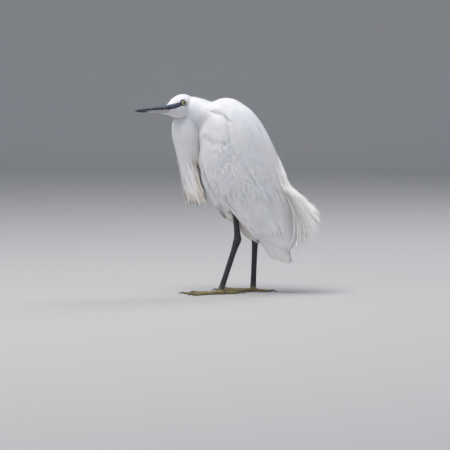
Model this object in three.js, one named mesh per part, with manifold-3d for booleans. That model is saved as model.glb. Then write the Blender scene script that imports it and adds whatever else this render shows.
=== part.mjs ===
// A little egret at life size, standing hunched with its neck folded and its head turned to its left.
// Millimetres, +Z up. The bird faces -X, its left side is towards -Y, and its feet stand on z = 0.
import * as THREE from "three";
import { mergeVertices } from "three/addons/utils/BufferGeometryUtils.js";
import Module from "manifold-3d";

const wasm = await Module();
wasm.setup();

// Driving dimensions
const GAP = 0.3; // kept between touching sub-parts
const TARSUS_LENGTH = 92;
const BILL_LENGTH = 80; // from the forehead feathers to the tip
const EYEBALL_RADIUS = 6.5;
const LID_RADIUS = 4.9; // of the ring of lids round each eye
const LID_THICKNESS = 2;
const MOUTH_CUT = [19, 6, 0.9]; // length, depth into the head and height
const VANE_THICKNESS = 0.8;
const SHAFT_THICKNESS = 1.5; // of a back plume
const BARB_THICKNESS = 1;
const CLAW_TIP_RADIUS = 0.35;
const HEAD_TURN = THREE.MathUtils.degToRad(53); // to the bird's left
const HEAD_PITCH = THREE.MathUtils.degToRad(2); // bill down
const FOOTPRINT_CENTRE = [-8.55, -19.9]; // middle of the whole bird's box, seen from above

// The body axis runs from between the shoulders down and back to the tail.
const SHOULDER = new THREE.Vector3(-18, 0, 300);
const TAILWARD = new THREE.Vector3(0.38, 0, -0.925).normalize();
const DORSAL = new THREE.Vector3(-TAILWARD.z, 0, TAILWARD.x);

// Body stations: distance along the axis, height of back and belly, half width, narrowing of the belly.
const TORSO = [
  [-31.5, -2, -2.01, 0, 0],
  [-29, 12, -19, 13, 0],
  [-20, 27, -34, 26, 0],
  [-8, 37, -43, 35, 0],
  [10, 47, -52, 43, 0.02],
  [35, 53, -61, 49, 0.05],
  [65, 56.5, -73, 51.5, 0.08],
  [100, 57, -79, 51, 0.12],
  [138, 51, -71.5, 45, 0.2],
  [170, 39, -58, 33, 0.3],
  [195, 22, -47, 19, 0.36],
  [210, 4, -41, 9, 0.36],
  [217, -22, -22.01, 0, 0.36],
];
// The surface that the folded wings lie on, which runs on past the torso to the wing tips.
const WING_BED = [
  ...TORSO.slice(0, 8),
  [138, 55, -71, 46, 0.1],
  [170, 52, -58, 39, 0.1],
  [204, 41, -43, 31, 0.08],
  [230, 33, -33, 26, 0.04],
  [250, 26, -26, 23, 0],
  [285, 17, -18, 18, 0],
];

// Deterministic scatter between -1 and 1.
function scatter(seed) {
  const wave = Math.sin(seed * 127.1 + 11.7) * 43758.5453;
  return 2 * (wave - Math.floor(wave)) - 1;
}

const lerp = THREE.MathUtils.lerp;
const radians = THREE.MathUtils.degToRad;

// Smooth values at one place of a table whose first column is the place.
function tableAt(rows, place) {
  const last = rows.length - 1;
  let i = 0;
  while (i < last - 1 && place > rows[i + 1][0]) i++;
  const before = rows[Math.max(i - 1, 0)];
  const a = rows[i];
  const b = rows[i + 1];
  const after = rows[Math.min(i + 2, last)];
  const span = b[0] - a[0];
  const s = THREE.MathUtils.clamp((place - a[0]) / span, 0, 1);
  return a.slice(1).map((value, j) => {
    const c = j + 1;
    const slopeIn = ((b[c] - before[c]) / (b[0] - before[0])) * span;
    const slopeOut = ((after[c] - a[c]) / (after[0] - a[0])) * span;
    const rise = b[c] - value;
    const square = 3 * rise - 2 * slopeIn - slopeOut;
    const cube = slopeIn + slopeOut - 2 * rise;
    return value + s * slopeIn + s * s * square + s * s * s * cube;
  });
}

// A point in the body's own directions: along the axis, towards the back, to the bird's right.
function inBody(along, up, right) {
  const point = SHOULDER.clone().addScaledVector(TAILWARD, along).addScaledVector(DORSAL, up);
  point.y += right;
  return point;
}

// A point of a body surface. The angle runs from the back by the bird's left to the belly.
function onBody(rows, along, angle, lift = 0) {
  const bare = (k, a) => {
    const [back, belly, half, keel] = tableAt(rows, k);
    const up = (back + belly) / 2 + ((back - belly) / 2) * Math.cos(a);
    const narrowing = 1 - (keel * (1 - Math.cos(a))) / 2;
    return inBody(k, up, -half * Math.sin(a) * narrowing);
  };
  const here = bare(along, angle);
  if (!lift) return here;
  const first = rows[0][0];
  const last = rows[rows.length - 1][0];
  const step = 0.5;
  const low = bare(Math.max(along - step, first), angle);
  const high = bare(Math.min(along + step, last), angle);
  const left = bare(along, angle - 0.02);
  const right = bare(along, angle + 0.02);
  const normal = right.sub(left).cross(high.sub(low));
  if (normal.length() < 1e-6) normal.copy(TAILWARD).multiplyScalar(along < (first + last) / 2 ? -1 : 1);
  return here.addScaledVector(normal.normalize(), lift);
}

// The closed solid of a geometry, facing outwards whichever way its faces were wound.
function solidOf(geometry) {
  const bare = new THREE.BufferGeometry().setAttribute("position", geometry.getAttribute("position"));
  bare.setIndex(geometry.index);
  const merged = mergeVertices(bare, 1e-4);
  const corners = merged.index.array;
  const make = (flip) => {
    const kept = [];
    for (let i = 0; i < corners.length; i += 3) {
      const [a, b, c] = [corners[i], corners[i + 1 + flip], corners[i + 2 - flip]];
      if (a !== b && b !== c && a !== c) kept.push(a, b, c);
    }
    const vertProperties = new Float32Array(merged.attributes.position.array);
    const triVerts = Uint32Array.from(kept);
    return new wasm.Manifold(new wasm.Mesh({ numProp: 3, vertProperties, triVerts }));
  };
  const made = make(0);
  return made.volume() < 0 ? make(1) : made;
}

// A closed skin: place(u, v) gives the point at u round and v along, and both ends close to a point.
function wrap(around, along, place) {
  const geometry = new THREE.SphereGeometry(1, around, along);
  const { position, uv } = geometry.attributes;
  for (let i = 0; i < position.count; i++) {
    const v = 1 - uv.getY(i);
    const p = place(v > 0 && v < 1 ? uv.getX(i) : 0, v);
    position.setXYZ(i, p.x, p.y, p.z);
  }
  return solidOf(geometry);
}

// A thin closed plate whose two faces are split alike: faces(s, t) gives its outer and inner point.
function plate(across, along, faces) {
  const grid = new THREE.PlaneGeometry(1, 1, across, along);
  const { uv } = grid.attributes;
  const pairs = Array.from({ length: uv.count }, (_, i) => faces(uv.getX(i), uv.getY(i)));
  const points = [...pairs.map(([outer]) => outer), ...pairs.map(([, inner]) => inner)];
  const corners = [];
  const open = new Map();
  for (let i = 0; i < grid.index.count; i += 3) {
    const face = [0, 1, 2].map((j) => grid.index.getX(i + j));
    corners.push(...face, face[0] + uv.count, face[2] + uv.count, face[1] + uv.count);
    face.forEach((a, j) => {
      const b = face[(j + 1) % 3];
      if (!open.delete(`${b} ${a}`)) open.set(`${a} ${b}`, [a, b]);
    });
  }
  for (const [a, b] of open.values()) corners.push(b, a, a + uv.count, b, a + uv.count, b + uv.count);
  const geometry = new THREE.BufferGeometry().setFromPoints(points);
  geometry.setIndex(corners);
  return solidOf(geometry);
}

// A tapering round limb along a curve. The section is flattened by flat, and stays above the floor.
function limb(points, radiusAt, { around = 10, steps = 10, flat = 1, grow = 0, floor = false } = {}) {
  const curve = new THREE.CatmullRomCurve3(points, false, "centripetal");
  const { tangents } = curve.computeFrenetFrames(steps);
  return wrap(around, steps, (u, v) => {
    const centre = curve.getPointAt(v);
    const tangent = tangents[Math.round(v * steps)];
    const side = new THREE.Vector3(0, 1, 0).addScaledVector(tangent, -tangent.y);
    if (side.length() < 0.2) side.set(1, 0, 0).addScaledVector(tangent, -tangent.x);
    side.normalize();
    const front = side.clone().cross(tangent);
    const radius = v > 0 && v < 1 ? radiusAt(v) + grow : 0;
    const angle = 2 * Math.PI * u;
    centre.addScaledVector(side, radius * flat * Math.cos(angle));
    centre.addScaledVector(front, radius * Math.sin(angle));
    if (v === 0 || v === 1) centre.addScaledVector(tangent, (v - 0.5) * 2 * grow);
    if (floor) centre.z = Math.max(centre.z, 0);
    return centre;
  });
}

// Pieces fused into one solid: only its largest closed surface is kept.
function fuse(pieces) {
  const bodies = wasm.Manifold.union(pieces).decompose();
  return bodies.reduce((best, body) => (body.volume() > best.volume() ? body : best));
}

// What is left of a solid, in one body, when others are cut out of it.
function without(solid, cutters) {
  return fuse([cutters.reduce((rest, cutter) => rest.subtract(cutter), solid)]);
}

// Feathers

// How wide a vane is along its length, as a share of its greatest width.
function vaneShape(t) {
  return tableAt([[0, 0.45], [0.3, 0.9], [0.6, 1], [0.85, 0.86], [1, 0.42]], t)[0];
}

// A vane that lies on a body surface from its root to its tip, each a distance along the axis and an angle.
// Its ventral edge is raised over the next vane and its dorsal edge is sunk under the vane before it.
function bodyVane(rows, { root, tip, width, side, lift, tilt, along }) {
  return plate(2, along, (s, t) => {
    const x = 2 * s - 1;
    const reach = t - (0.45 * width * x * x * t ** 5) / (tip[0] - root[0]);
    const k = lerp(root[0], tip[0], reach);
    const angle = radians(lerp(root[1], tip[1], reach));
    const radius = onBody(rows, k, angle - 0.01).distanceTo(onBody(rows, k, angle + 0.01)) / 0.02;
    const turned = angle + (x * width * vaneShape(t)) / 2 / radius;
    const raised = lift(t) + x * tilt;
    return [raised, raised - VANE_THICKNESS].map((h) => onBody(rows, k, side * turned, h));
  });
}

// Wings

const WING_START = 14;
const WING_END = 180;
const WING_DEPTH = 8.6; // how far the wing is let into the body
// Edges of the wing: distance along the axis and angle in degrees.
const VENTRAL_EDGE = [
  [WING_START, 128],
  [26, 150],
  [45, 158],
  [70, 148],
  [104, 141],
  [143, 139],
  [WING_END, 136],
];
const DORSAL_EDGE = [
  [WING_START, 62],
  [26, 42],
  [60, 39],
  [100, 38],
  [120, 31],
  [WING_END, 26],
];
// Height of the core over the bed: it dives under each tier of vanes in turn.
const CORE_TOP = [[WING_START, 0], [36, 0], [60, -2.4], [85, -4.6], [110, -6], [WING_END, -6]];

// The arm and hand that the vanes grow from, or with room the space that the wing takes out of the body.
function wingCore(side, grow = 0, room = 0) {
  return plate(6, 9, (s, t) => {
    const k = lerp(WING_START - grow, WING_END + grow, t);
    const ventral = tableAt(VENTRAL_EDGE, k)[0] + 3.5 * grow;
    const dorsal = tableAt(DORSAL_EDGE, k)[0] - 3 * grow;
    const angle = side * radians(lerp(dorsal, ventral, s));
    const edge = Math.min(s, 1 - s, t, 1 - t);
    const thin = edge > 0 ? 0 : 1.6;
    const top = Math.max(tableAt(CORE_TOP, k)[0] - thin, 1 - WING_DEPTH) + grow;
    return [onBody(WING_BED, k, angle, room || top), onBody(WING_BED, k, angle, -WING_DEPTH - grow)];
  });
}

// Tiers of a wing. first and last give the root and the tip of the first and the last vane.
const WING_TIERS = {
  median: {
    count: 7,
    first: [[38, 142], [86, 136]],
    last: [[46, 52], [98, 54]],
    width: 13.5,
    tilt: 0.8,
    heights: [[0, -2.6], [0.34, 0.2], [1, 0.6]],
    along: 3,
  },
  greater: {
    count: 8,
    first: [[62, 136], [124, 130]],
    last: [[80, 50], [148, 52]],
    width: 12.5,
    tilt: 0.8,
    heights: [[0, -5.4], [0.34, -2.4], [1, 0]],
    along: 3,
  },
  secondary: {
    count: 9,
    first: [[96, 131], [208, 130]],
    last: [[112, 62], [250, 60]],
    width: 11,
    tilt: 1,
    heights: [[0, -6.6], [0.25, -3.4], [0.5, -2], [1, 0]],
    along: 4,
  },
  tertial: {
    count: 3,
    first: [[108, 54], [250, 49]],
    last: [[120, 38], [232, 22]],
    width: 12.5,
    tilt: 1.1,
    heights: [[0, -6.5], [0.25, -3], [0.5, -1], [1, 1]],
    along: 4,
  },
  primary: {
    count: 5,
    first: [[172, 114], [254, 131]],
    last: [[172, 74], [270, 80]],
    width: 10,
    tilt: 1.1,
    heights: [[0, -6.5], [0.33, -4.8], [1, -2.8]],
    along: 3,
  },
};
const TIP_UNEVENNESS = 2.5;

function wing(side) {
  const vanes = Object.values(WING_TIERS).flatMap((tier, number) =>
    Array.from({ length: tier.count }, (_, i) => {
      const share = i / (tier.count - 1);
      const place = (end) => [0, 1].map((j) => lerp(tier.first[end][j], tier.last[end][j], share));
      const [root, tip] = [place(0), place(1)];
      tip[0] += TIP_UNEVENNESS * scatter(i + 10 * number);
      const lift = (t) => tableAt(tier.heights, t)[0];
      return bodyVane(WING_BED, { ...tier, root, tip, side, lift });
    }),
  );
  return fuse([wingCore(side), ...vanes]);
}

// Mantle with the long loose back plumes

const MANTLE_START = 0;
const MANTLE_END = 118;
const MANTLE_EDGE = 34; // degrees from the middle of the back
const PLUMES = 13;
// Where the tips end, from the highest to the lowest: distance along the body's axis and height over it.
const PLUME_TIPS = [[0, 195, 82], [0.25, 214, 82], [0.5, 236, 72], [0.75, 250, 56], [1, 251, 30]];
const BARBS = 2; // side barbs near each plume's tip
const BARB_LENGTH = 17;
const BARB_SPREAD = 5;

function mantleCore(grow = 0, top = 0.6) {
  return plate(6, 7, (s, t) => {
    const k = lerp(MANTLE_START - grow, MANTLE_END + grow, t);
    const half = MANTLE_EDGE * Math.sqrt(Math.sin(Math.PI * lerp(0.12, 0.94, t))) + grow;
    const angle = radians(lerp(-half, half, s));
    return [onBody(WING_BED, k, angle, top + grow), onBody(WING_BED, k, angle, -4 - grow)];
  });
}

// A thin tapering filament through some points.
function filament(points, thickness, steps) {
  const curve = new THREE.CatmullRomCurve3(points, false, "centripetal");
  const { tangents, normals, binormals } = curve.computeFrenetFrames(steps);
  return wrap(4, steps, (u, v) => {
    const row = Math.round(v * steps);
    const radius = v > 0 ? (thickness / 2) * lerp(1.25, 0.55, v) : 0;
    const angle = 2 * Math.PI * u;
    const centre = curve.getPointAt(v);
    if (row === steps) return centre.addScaledVector(tangents[row], 1);
    return centre
      .addScaledVector(normals[row], radius * Math.cos(angle))
      .addScaledVector(binormals[row], radius * Math.sin(angle));
  });
}

// One back plume: it lies along the mantle and the wings, leaves the body, and curls outwards at its tip.
function backPlume(i) {
  const share = i / (PLUMES - 1);
  const spread = 2 * share - 1;
  const fan = ((i * 7) % PLUMES) / (PLUMES - 1); // 0 for the highest tip, 1 for the lowest
  const lying = (k, lift, degrees) => onBody(WING_BED, k, radians(-degrees * spread), lift);
  const tip = tableAt(PLUME_TIPS, fan).map((reach, j) => reach + 3 * scatter(i + 9 * j));
  const sideways = 26 * spread + 3 * scatter(i + 30);
  const leaving = 146 + 10 * fan;
  const points = [
    lying(70 + 20 * fan, -2.6, 20),
    lying(96 + 14 * fan, 1.8, 23),
    lying(121 + 12 * fan, 3.4, 25),
    lying(leaving, 4.4 - 1.2 * fan, 26),
    inBody(lerp(leaving, tip[0], 0.5), lerp(62, tip[1], 0.38), lerp(22 * spread, sideways, 0.5)),
    inBody(lerp(leaving, tip[0], 0.82), lerp(60, tip[1], 0.68), lerp(22 * spread, sideways, 0.8)),
    inBody(tip[0], tip[1], sideways),
  ];
  const shaft = filament(points, SHAFT_THICKNESS, 10);
  const curve = new THREE.CatmullRomCurve3(points, false, "centripetal");
  const barbs = Array.from({ length: BARBS }, (_, j) => {
    const at = lerp(0.66, 0.9, j / (BARBS - 1));
    const from = curve.getPointAt(at);
    const ahead = curve.getTangentAt(at);
    const out = inBody(0, 0.5 * scatter(i + j), j % 2 ? 1 : -1).sub(SHOULDER).normalize();
    const to = from.clone().addScaledVector(ahead, BARB_LENGTH - 2 * j);
    to.addScaledVector(out, BARB_SPREAD + scatter(i * 3 + j));
    const middle = from.clone().lerp(to, 0.5).addScaledVector(out, 1);
    return filament([from.clone().addScaledVector(ahead, -1), middle, to], BARB_THICKNESS, 2);
  });
  return fuse([shaft, ...barbs]);
}

function mantle() {
  return fuse([mantleCore(), ...Array.from({ length: PLUMES }, (_, i) => backPlume(i))]);
}

// Tail

const TAIL_FEATHERS = 12;
const TAIL_TIP = 275;
const TAIL_HEIGHT = 14;
const TAIL_STEP = 1.2; // between feathers that lie over one another
const TAIL_VANE_WIDTH = 10;
// The fleshy base of the tail: share of its length, half width, half thickness.
const TAIL_BASE = [
  [0, 0, 0],
  [0.2, 13, 8],
  [0.5, 13, 6.5],
  [0.8, 12, 4.5],
  [1, 0, 0],
];

function tail() {
  const base = wrap(12, 6, (u, v) => {
    const [half, thick] = tableAt(TAIL_BASE, v);
    const angle = 2 * Math.PI * u;
    return inBody(lerp(176, 226, v), TAIL_HEIGHT - 4.5 + thick * Math.cos(angle), half * Math.sin(angle));
  });
  const vanes = Array.from({ length: TAIL_FEATHERS }, (_, i) => {
    const place = i - (TAIL_FEATHERS - 1) / 2;
    const outwards = Math.abs(place);
    const under = outwards - 0.5 + (place > 0 ? 1 : 0);
    return plate(2, 2, (s, t) => {
      const x = 2 * s - 1;
      const width = TAIL_VANE_WIDTH * vaneShape(t);
      const k = lerp(196, TAIL_TIP - 0.9 * outwards, t - 0.06 * x * x * t ** 5);
      const right = place * lerp(1.2, 1.85, t) + (x * width) / 2;
      const up = TAIL_HEIGHT - TAIL_STEP * under - (x * Math.sign(place) + 1) * 0.25;
      return [inBody(k, up, right), inBody(k, up - VANE_THICKNESS, right)];
    });
  });
  return fuse([base, ...vanes]);
}

// Neck

// Stations of the hanging fold: height, front x, rear x, half width.
const NECK_FOLD = [
  [166, -76, -75.99, 0],
  [172, -84, -65, 8],
  [184, -88.4, -60, 12.5],
  [200, -91, -60, 15],
  [223, -96.5, -60, 18.5],
  [246, -102.5, -58, 21.5],
  [268, -107.5, -56, 23.5],
  [283, -108, -55, 23.5],
  [296, -103, -56, 20],
  [304, -92, -60, 12],
  [308, -78, -77.99, 0],
];
// Stations of the nape between the head and the shoulders: x, top, bottom, half width.
const NAPE = [
  [-96, 312, 311.99, 0],
  [-90, 322, 300, 12],
  [-82, 331, 288, 20],
  [-70, 333.5, 280, 24.5],
  [-58, 331, 276, 27],
  [-46, 326.5, 276, 30],
  [-34, 322, 280, 30],
  [-24, 300, 299.99, 0],
];

function neckFold(grow = 0) {
  const low = NECK_FOLD[0][0];
  const high = NECK_FOLD[NECK_FOLD.length - 1][0];
  return wrap(16, 13, (u, v) => {
    const z = lerp(low, high, v);
    const [front, rear, half] = tableAt(NECK_FOLD, z);
    const angle = 2 * Math.PI * u;
    const round = v > 0 && v < 1 ? grow : 0;
    return new THREE.Vector3(
      (front + rear) / 2 + ((rear - front) / 2 + round) * Math.cos(angle),
      (half + round) * Math.sin(angle),
      z,
    );
  });
}

function nape(grow = 0) {
  const from = NAPE[0][0];
  const to = NAPE[NAPE.length - 1][0];
  return wrap(16, 10, (u, v) => {
    const x = lerp(from, to, v);
    const [top, bottom, half] = tableAt(NAPE, x);
    const angle = 2 * Math.PI * u;
    const round = v > 0 && v < 1 ? grow : 0;
    return new THREE.Vector3(
      x,
      (half + round) * Math.sin(angle),
      (top + bottom) / 2 + ((top - bottom) / 2 + round) * Math.cos(angle),
    );
  });
}

const BREAST_PLUMES = 12;
const BREAST_PLUME_HALF_WIDTH = 2.1;
const BREAST_PLUME_HALF_THICKNESS = 0.4;

// The loose pointed plumes that hang from the foot of the neck.
function breastPlumes() {
  return Array.from({ length: BREAST_PLUMES }, (_, i) => {
    const share = i / (BREAST_PLUMES - 1);
    const across = scatter(i + 3) * 7;
    const top = new THREE.Vector3(lerp(-86, -62, share), across * 0.8, 186 - 3 * Math.abs(scatter(i)));
    const drop = lerp(47, 33, share) + 7 * scatter(i + 50);
    const tip = new THREE.Vector3(lerp(-79, -45, share) + 1.5 * scatter(i + 5), across * 1.5, top.z - drop);
    const belly = top.clone().lerp(tip, 0.5).add(new THREE.Vector3(-1.5, 0, 2));
    const curve = new THREE.QuadraticBezierCurve3(top, belly, tip);
    const turn = 0.5 * scatter(i + 70);
    return plate(2, 3, (s, t) => {
      const x = 2 * s - 1;
      const taper = Math.sin(Math.PI * lerp(0.16, 1, t ** 0.8));
      const half = t < 1 ? BREAST_PLUME_HALF_WIDTH * taper + 0.35 : 0.2;
      const centre = curve.getPoint(t);
      const sideways = new THREE.Vector3(Math.cos(turn), Math.sin(turn), 0.3).normalize();
      const outwards = new THREE.Vector3(-Math.sin(turn), Math.cos(turn), 0);
      centre.addScaledVector(sideways, x * half);
      const ridge = 0.35 * (1 - x * x);
      const heights = [BREAST_PLUME_HALF_THICKNESS + ridge, -BREAST_PLUME_HALF_THICKNESS];
      return heights.map((h) => centre.clone().addScaledVector(outwards, h));
    });
  });
}

// Head, in its own directions: +X forwards along the bill, +Y to the bird's left, +Z up

const HEAD_CENTRE = new THREE.Vector3(-94, -15, 317.5);
const BILL_BASE = 27;
const EYE = new THREE.Vector3(2.5, 10.4, 5.2);
// Head stations: distance forwards, top, bottom, half width.
const HEAD = [
  [-33, -2, -2.01, 0],
  [-31, 6, -9, 8],
  [-25, 15, -16, 14.5],
  [-16, 19.6, -19.5, 17.4],
  [-6, 19.8, -20.5, 17.8],
  [4, 17.2, -20.3, 15.9],
  [12, 13.4, -18.8, 12.9],
  [19, 9.2, -15.2, 9.8],
  [25, 5.4, -11.2, 7.1],
  [29.5, 3.6, -9.6, 5.8],
  [30, -3, -3.01, 0],
];

function headShell(grow = 0) {
  const from = HEAD[0][0];
  const to = HEAD[HEAD.length - 1][0];
  return wrap(20, 17, (u, v) => {
    const x = lerp(from, to, v);
    const [top, bottom, half] = tableAt(HEAD, x);
    const angle = 2 * Math.PI * u;
    const round = v > 0 && v < 1 ? grow : 0;
    const cheek = 1 + 0.06 * Math.max(0, -Math.cos(angle));
    return new THREE.Vector3(
      x + (v === 1 ? grow : 0) - (v === 0 ? grow : 0),
      (half * cheek + round) * Math.sin(angle),
      (top + bottom) / 2 + ((top - bottom) / 2 + round) * Math.cos(angle),
    );
  });
}

// How far the ring of lids stands from the middle of its eyeball.
const LID_HEIGHT = 4.5;
const eyePlace = (side) => new THREE.Vector3(EYE.x, side * EYE.y, EYE.z);
// The way an eye looks: out, a little forwards and up.
const eyeLook = (side) => new THREE.Vector3(0.3, side, 0.06).normalize();

function eyeball(side, grow = 0) {
  const ball = new THREE.SphereGeometry(EYEBALL_RADIUS + grow, 10, 8);
  const { x, y, z } = eyePlace(side);
  return solidOf(ball.translate(x, y, z));
}

// The ring of bare lids round an eye.
function lids(side) {
  const ring = new THREE.TorusGeometry(LID_RADIUS, LID_THICKNESS / 2, 5, 14);
  const turn = new THREE.Quaternion().setFromUnitVectors(new THREE.Vector3(0, 0, 1), eyeLook(side));
  const centre = eyePlace(side).addScaledVector(eyeLook(side), LID_HEIGHT);
  return solidOf(ring.applyQuaternion(turn).translate(centre.x, centre.y, centre.z));
}

// The line of the mouth, cut from the bill's base back to below the eye.
function gapeCut(side) {
  const line = new THREE.BoxGeometry(...MOUTH_CUT).rotateZ(side * -0.36).rotateY(0.09);
  return solidOf(line.translate(20.5, side * 11.6, -5.2));
}

function head() {
  const skin = fuse([headShell(), lids(1), lids(-1)]);
  const cutters = [eyeball(1, GAP), eyeball(-1, GAP), gapeCut(1), gapeCut(-1), bill(1, GAP), bill(-1, GAP)];
  return without(skin, cutters);
}

// Bill stations from the base to the tip: share of the length, height of ridge, mouth and keel, half width.
const BILL = [
  [-0.06, 4.2, -4.1, -9.6, 6],
  [0, 3.5, -3.9, -9.2, 5.6],
  [0.2, 2.6, -3.5, -8.7, 4.6],
  [0.45, 1.4, -3.2, -7.9, 3.6],
  [0.72, 0, -2.9, -6.8, 2.5],
  [0.9, -1.1, -2.8, -5.1, 1.5],
  [1, -2.3, -2.9, -3.2, 0.5],
];

// One half of the bill. half is 1 for the upper and -1 for the lower.
function bill(half, grow = 0) {
  const from = BILL[0][0];
  return wrap(10, 9, (u, v) => {
    const share = lerp(from, 1, v);
    const [ridge, mouth, keel, width] = tableAt(BILL, share);
    const far = half > 0 ? ridge : keel;
    const near = mouth + (half * GAP) / 2;
    const open = v > 0 && v < 1 ? 1 : 0;
    const angle = 2 * Math.PI * u;
    const rise = Math.max(0, Math.cos(angle)) ** 0.8;
    const below = Math.cos(angle) < 0 ? half * grow : 0;
    const up = near + (far - near + half * grow) * rise * open - below * open;
    const side = (width + grow) * Math.sin(angle) * open;
    const forward = BILL_BASE + share * BILL_LENGTH;
    if (v === 1) return new THREE.Vector3(forward + 0.8, side, (far + near) / 2);
    return new THREE.Vector3(forward, side, up);
  });
}

// A long slit on each side of the upper bill.
function nostril(side) {
  const slit = new THREE.SphereGeometry(1, 8, 6).scale(4.2, 1.1, 0.65).rotateZ(side * -0.05);
  return solidOf(slit.translate(BILL_BASE + 11.5, side * 4.5, 0.1));
}

// Legs

const FEET = { left: new THREE.Vector3(-22, -24, 6), right: new THREE.Vector3(29, 26, 6) };
// An ankle stands over its foot at the height that the tarsus gives it.
function ankleOver(foot, x, y) {
  const rise = Math.sqrt(TARSUS_LENGTH ** 2 - (x - foot.x) ** 2 - (y - foot.y) ** 2);
  return new THREE.Vector3(x, y, foot.z + rise);
}
const ANKLES = { left: ankleOver(FEET.left, 6, -16), right: ankleOver(FEET.right, 33.5, 13.5) };
const KNEES = { left: new THREE.Vector3(-1, -14, 168), right: new THREE.Vector3(13, 11.5, 160) };
// Where the middle toe points, turned from straight ahead.
const HEADINGS = { left: radians(8), right: radians(-4) };
// How much of the shin is feathered.
const THIGH_ENDS = { left: 0.42, right: 0.6 };
// Radii along each part of a leg: share of its length, radius.
const THIGH_RADII = [
  [0, 6],
  [0.2, 11],
  [0.5, 10.5],
  [0.8, 8],
  [1, 6.4],
];
const TIBIA_RADII = [
  [0, 4.4],
  [0.4, 4.6],
  [0.75, 5],
  [0.92, 6.1],
  [1, 6.1],
];
const TARSUS_RADII = [
  [0, 6.3],
  [0.09, 6.6],
  [0.18, 5.6],
  [0.3, 4.9],
  [0.75, 4.6],
  [0.9, 4.9],
  [1, 5.4],
];

function thigh(side, grow = 0) {
  const [knee, ankle] = [KNEES[side], ANKLES[side]];
  const points = [0, 0.5, 1].map((share) => knee.clone().lerp(ankle, share * THIGH_ENDS[side]));
  return limb(points, (v) => tableAt(THIGH_RADII, v)[0], { around: 10, steps: 7, grow, flat: 0.75 });
}

function tibia(side, grow = 0) {
  const [knee, ankle] = [KNEES[side], ANKLES[side]];
  const points = [0.3, 0.65, 1.05].map((share) => knee.clone().lerp(ankle, share));
  return limb(points, (v) => tableAt(TIBIA_RADII, v)[0], { around: 8, steps: 7, grow, flat: 0.78 });
}

function tarsus(side, grow = 0) {
  const [ankle, foot] = [ANKLES[side], FEET[side]];
  const points = [-0.06, 0.5, 1].map((share) => ankle.clone().lerp(foot, share));
  return limb(points, (v) => tableAt(TARSUS_RADII, v)[0], { around: 8, steps: 11, flat: 0.76, grow });
}

const PAD_RADIUS = 6.6;
const PAD_HALF_HEIGHT = 5.2;
const PAD_MIDDLE = 4.2; // height of its middle over the floor, below which it is cut flat

// The pad under the tarsus, which the toes grow from.
function footPad(side, grow = 0) {
  const foot = FEET[side];
  return wrap(10, 7, (u, v) => {
    const tall = Math.cos(Math.PI * v);
    const ring = Math.sin(Math.PI * v) * (PAD_RADIUS + grow);
    const x = foot.x + ring * Math.cos(2 * Math.PI * u);
    const y = foot.y + 0.92 * ring * Math.sin(2 * Math.PI * u);
    return new THREE.Vector3(x, y, Math.max(PAD_MIDDLE + (PAD_HALF_HEIGHT + grow) * tall, 0));
  });
}

// Toes: bearing from the middle toe in degrees, half the thickness, and how far each bends sideways.
const TOES = [
  { name: "hallux", bearing: 172, length: 31, half: 2.5, joints: 1, bend: 1.5, claw: 13 },
  { name: "inner", bearing: 27, length: 50, half: 2.3, joints: 2, bend: 1.5, claw: 9 },
  { name: "middle", bearing: 0, length: 63, half: 2.5, joints: 3, bend: 1.5, claw: 9.5 },
  { name: "outer", bearing: -29, length: 56, half: 2.3, joints: 3, bend: -2.5, claw: 8.5 },
];

// Direction of a toe on the floor. On the left foot a positive bearing points to the bird's right.
function toeDirection(side, bearing) {
  const inward = side === "left" ? 1 : -1;
  const turn = Math.PI + HEADINGS[side] - inward * radians(bearing);
  return new THREE.Vector3(Math.cos(turn), Math.sin(turn), 0);
}

function toe(side, { bearing, length, half, joints, bend }, grow = 0) {
  const direction = toeDirection(side, bearing);
  const across = new THREE.Vector3(-direction.y, direction.x, 0);
  const start = FEET[side].clone().setZ(half * 0.9);
  const points = [
    start.clone().addScaledVector(direction, 2).setZ(half * 1.5),
    start.clone().addScaledVector(direction, length * 0.4).addScaledVector(across, bend),
    start.clone().addScaledVector(direction, length),
  ];
  const radiusAt = (v) => {
    const knuckle = 0.13 * Math.cos(2 * Math.PI * joints * v + Math.PI * joints);
    return half * (lerp(1.12, 0.78, v) + knuckle);
  };
  return limb(points, radiusAt, { around: 7, steps: 4 * joints + 1, grow, floor: true });
}

function clawOf(side, { bearing, length, half, claw }) {
  const direction = toeDirection(side, bearing);
  const from = FEET[side].clone().setZ(half * 1.05).addScaledVector(direction, length - 1.5);
  const points = [
    from,
    from.clone().addScaledVector(direction, claw * 0.55).setZ(half * 1.3),
    from.clone().addScaledVector(direction, claw + 1.5).setZ(0.5),
  ];
  const radiusAt = (v) => lerp(half * 0.68, CLAW_TIP_RADIUS, v);
  return limb(points, radiusAt, { around: 5, steps: 5, floor: true });
}

// Assembly

const WHITE = { color: 0xf3f2f4, roughness: 0.85 };
const CREAM = { color: 0xece5db, roughness: 0.85 };
const BLACK_HORN = { color: 0x1b1f2a, roughness: 0.4 };
const PALE_HORN = { color: 0x6d6a72, roughness: 0.45 };
const BLACK_SKIN = { color: 0x14161d, roughness: 0.5 };
const YELLOW_SKIN = { color: 0xb79a3a, roughness: 0.55 };
const EYE_YELLOW = { color: 0xe6dc8c, roughness: 0.1 };

function sub(name, solid, look) {
  const mesh = solid.getMesh();
  const points = new Float32Array(mesh.numVert * 3);
  for (let i = 0; i < mesh.numVert; i++) {
    const start = i * mesh.numProp;
    points.set(mesh.vertProperties.subarray(start, start + 3), i * 3);
  }
  const geometry = new THREE.BufferGeometry();
  geometry.setAttribute("position", new THREE.BufferAttribute(points, 3));
  geometry.setIndex(new THREE.BufferAttribute(mesh.triVerts, 1));
  geometry.computeVertexNormals();
  const made = new THREE.Mesh(geometry, new THREE.MeshStandardMaterial({ metalness: 0, ...look }));
  made.name = name;
  return made;
}

const bird = new THREE.Group();
bird.position.set(-FOOTPRINT_CENTRE[0], -FOOTPRINT_CENTRE[1], 0);

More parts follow.
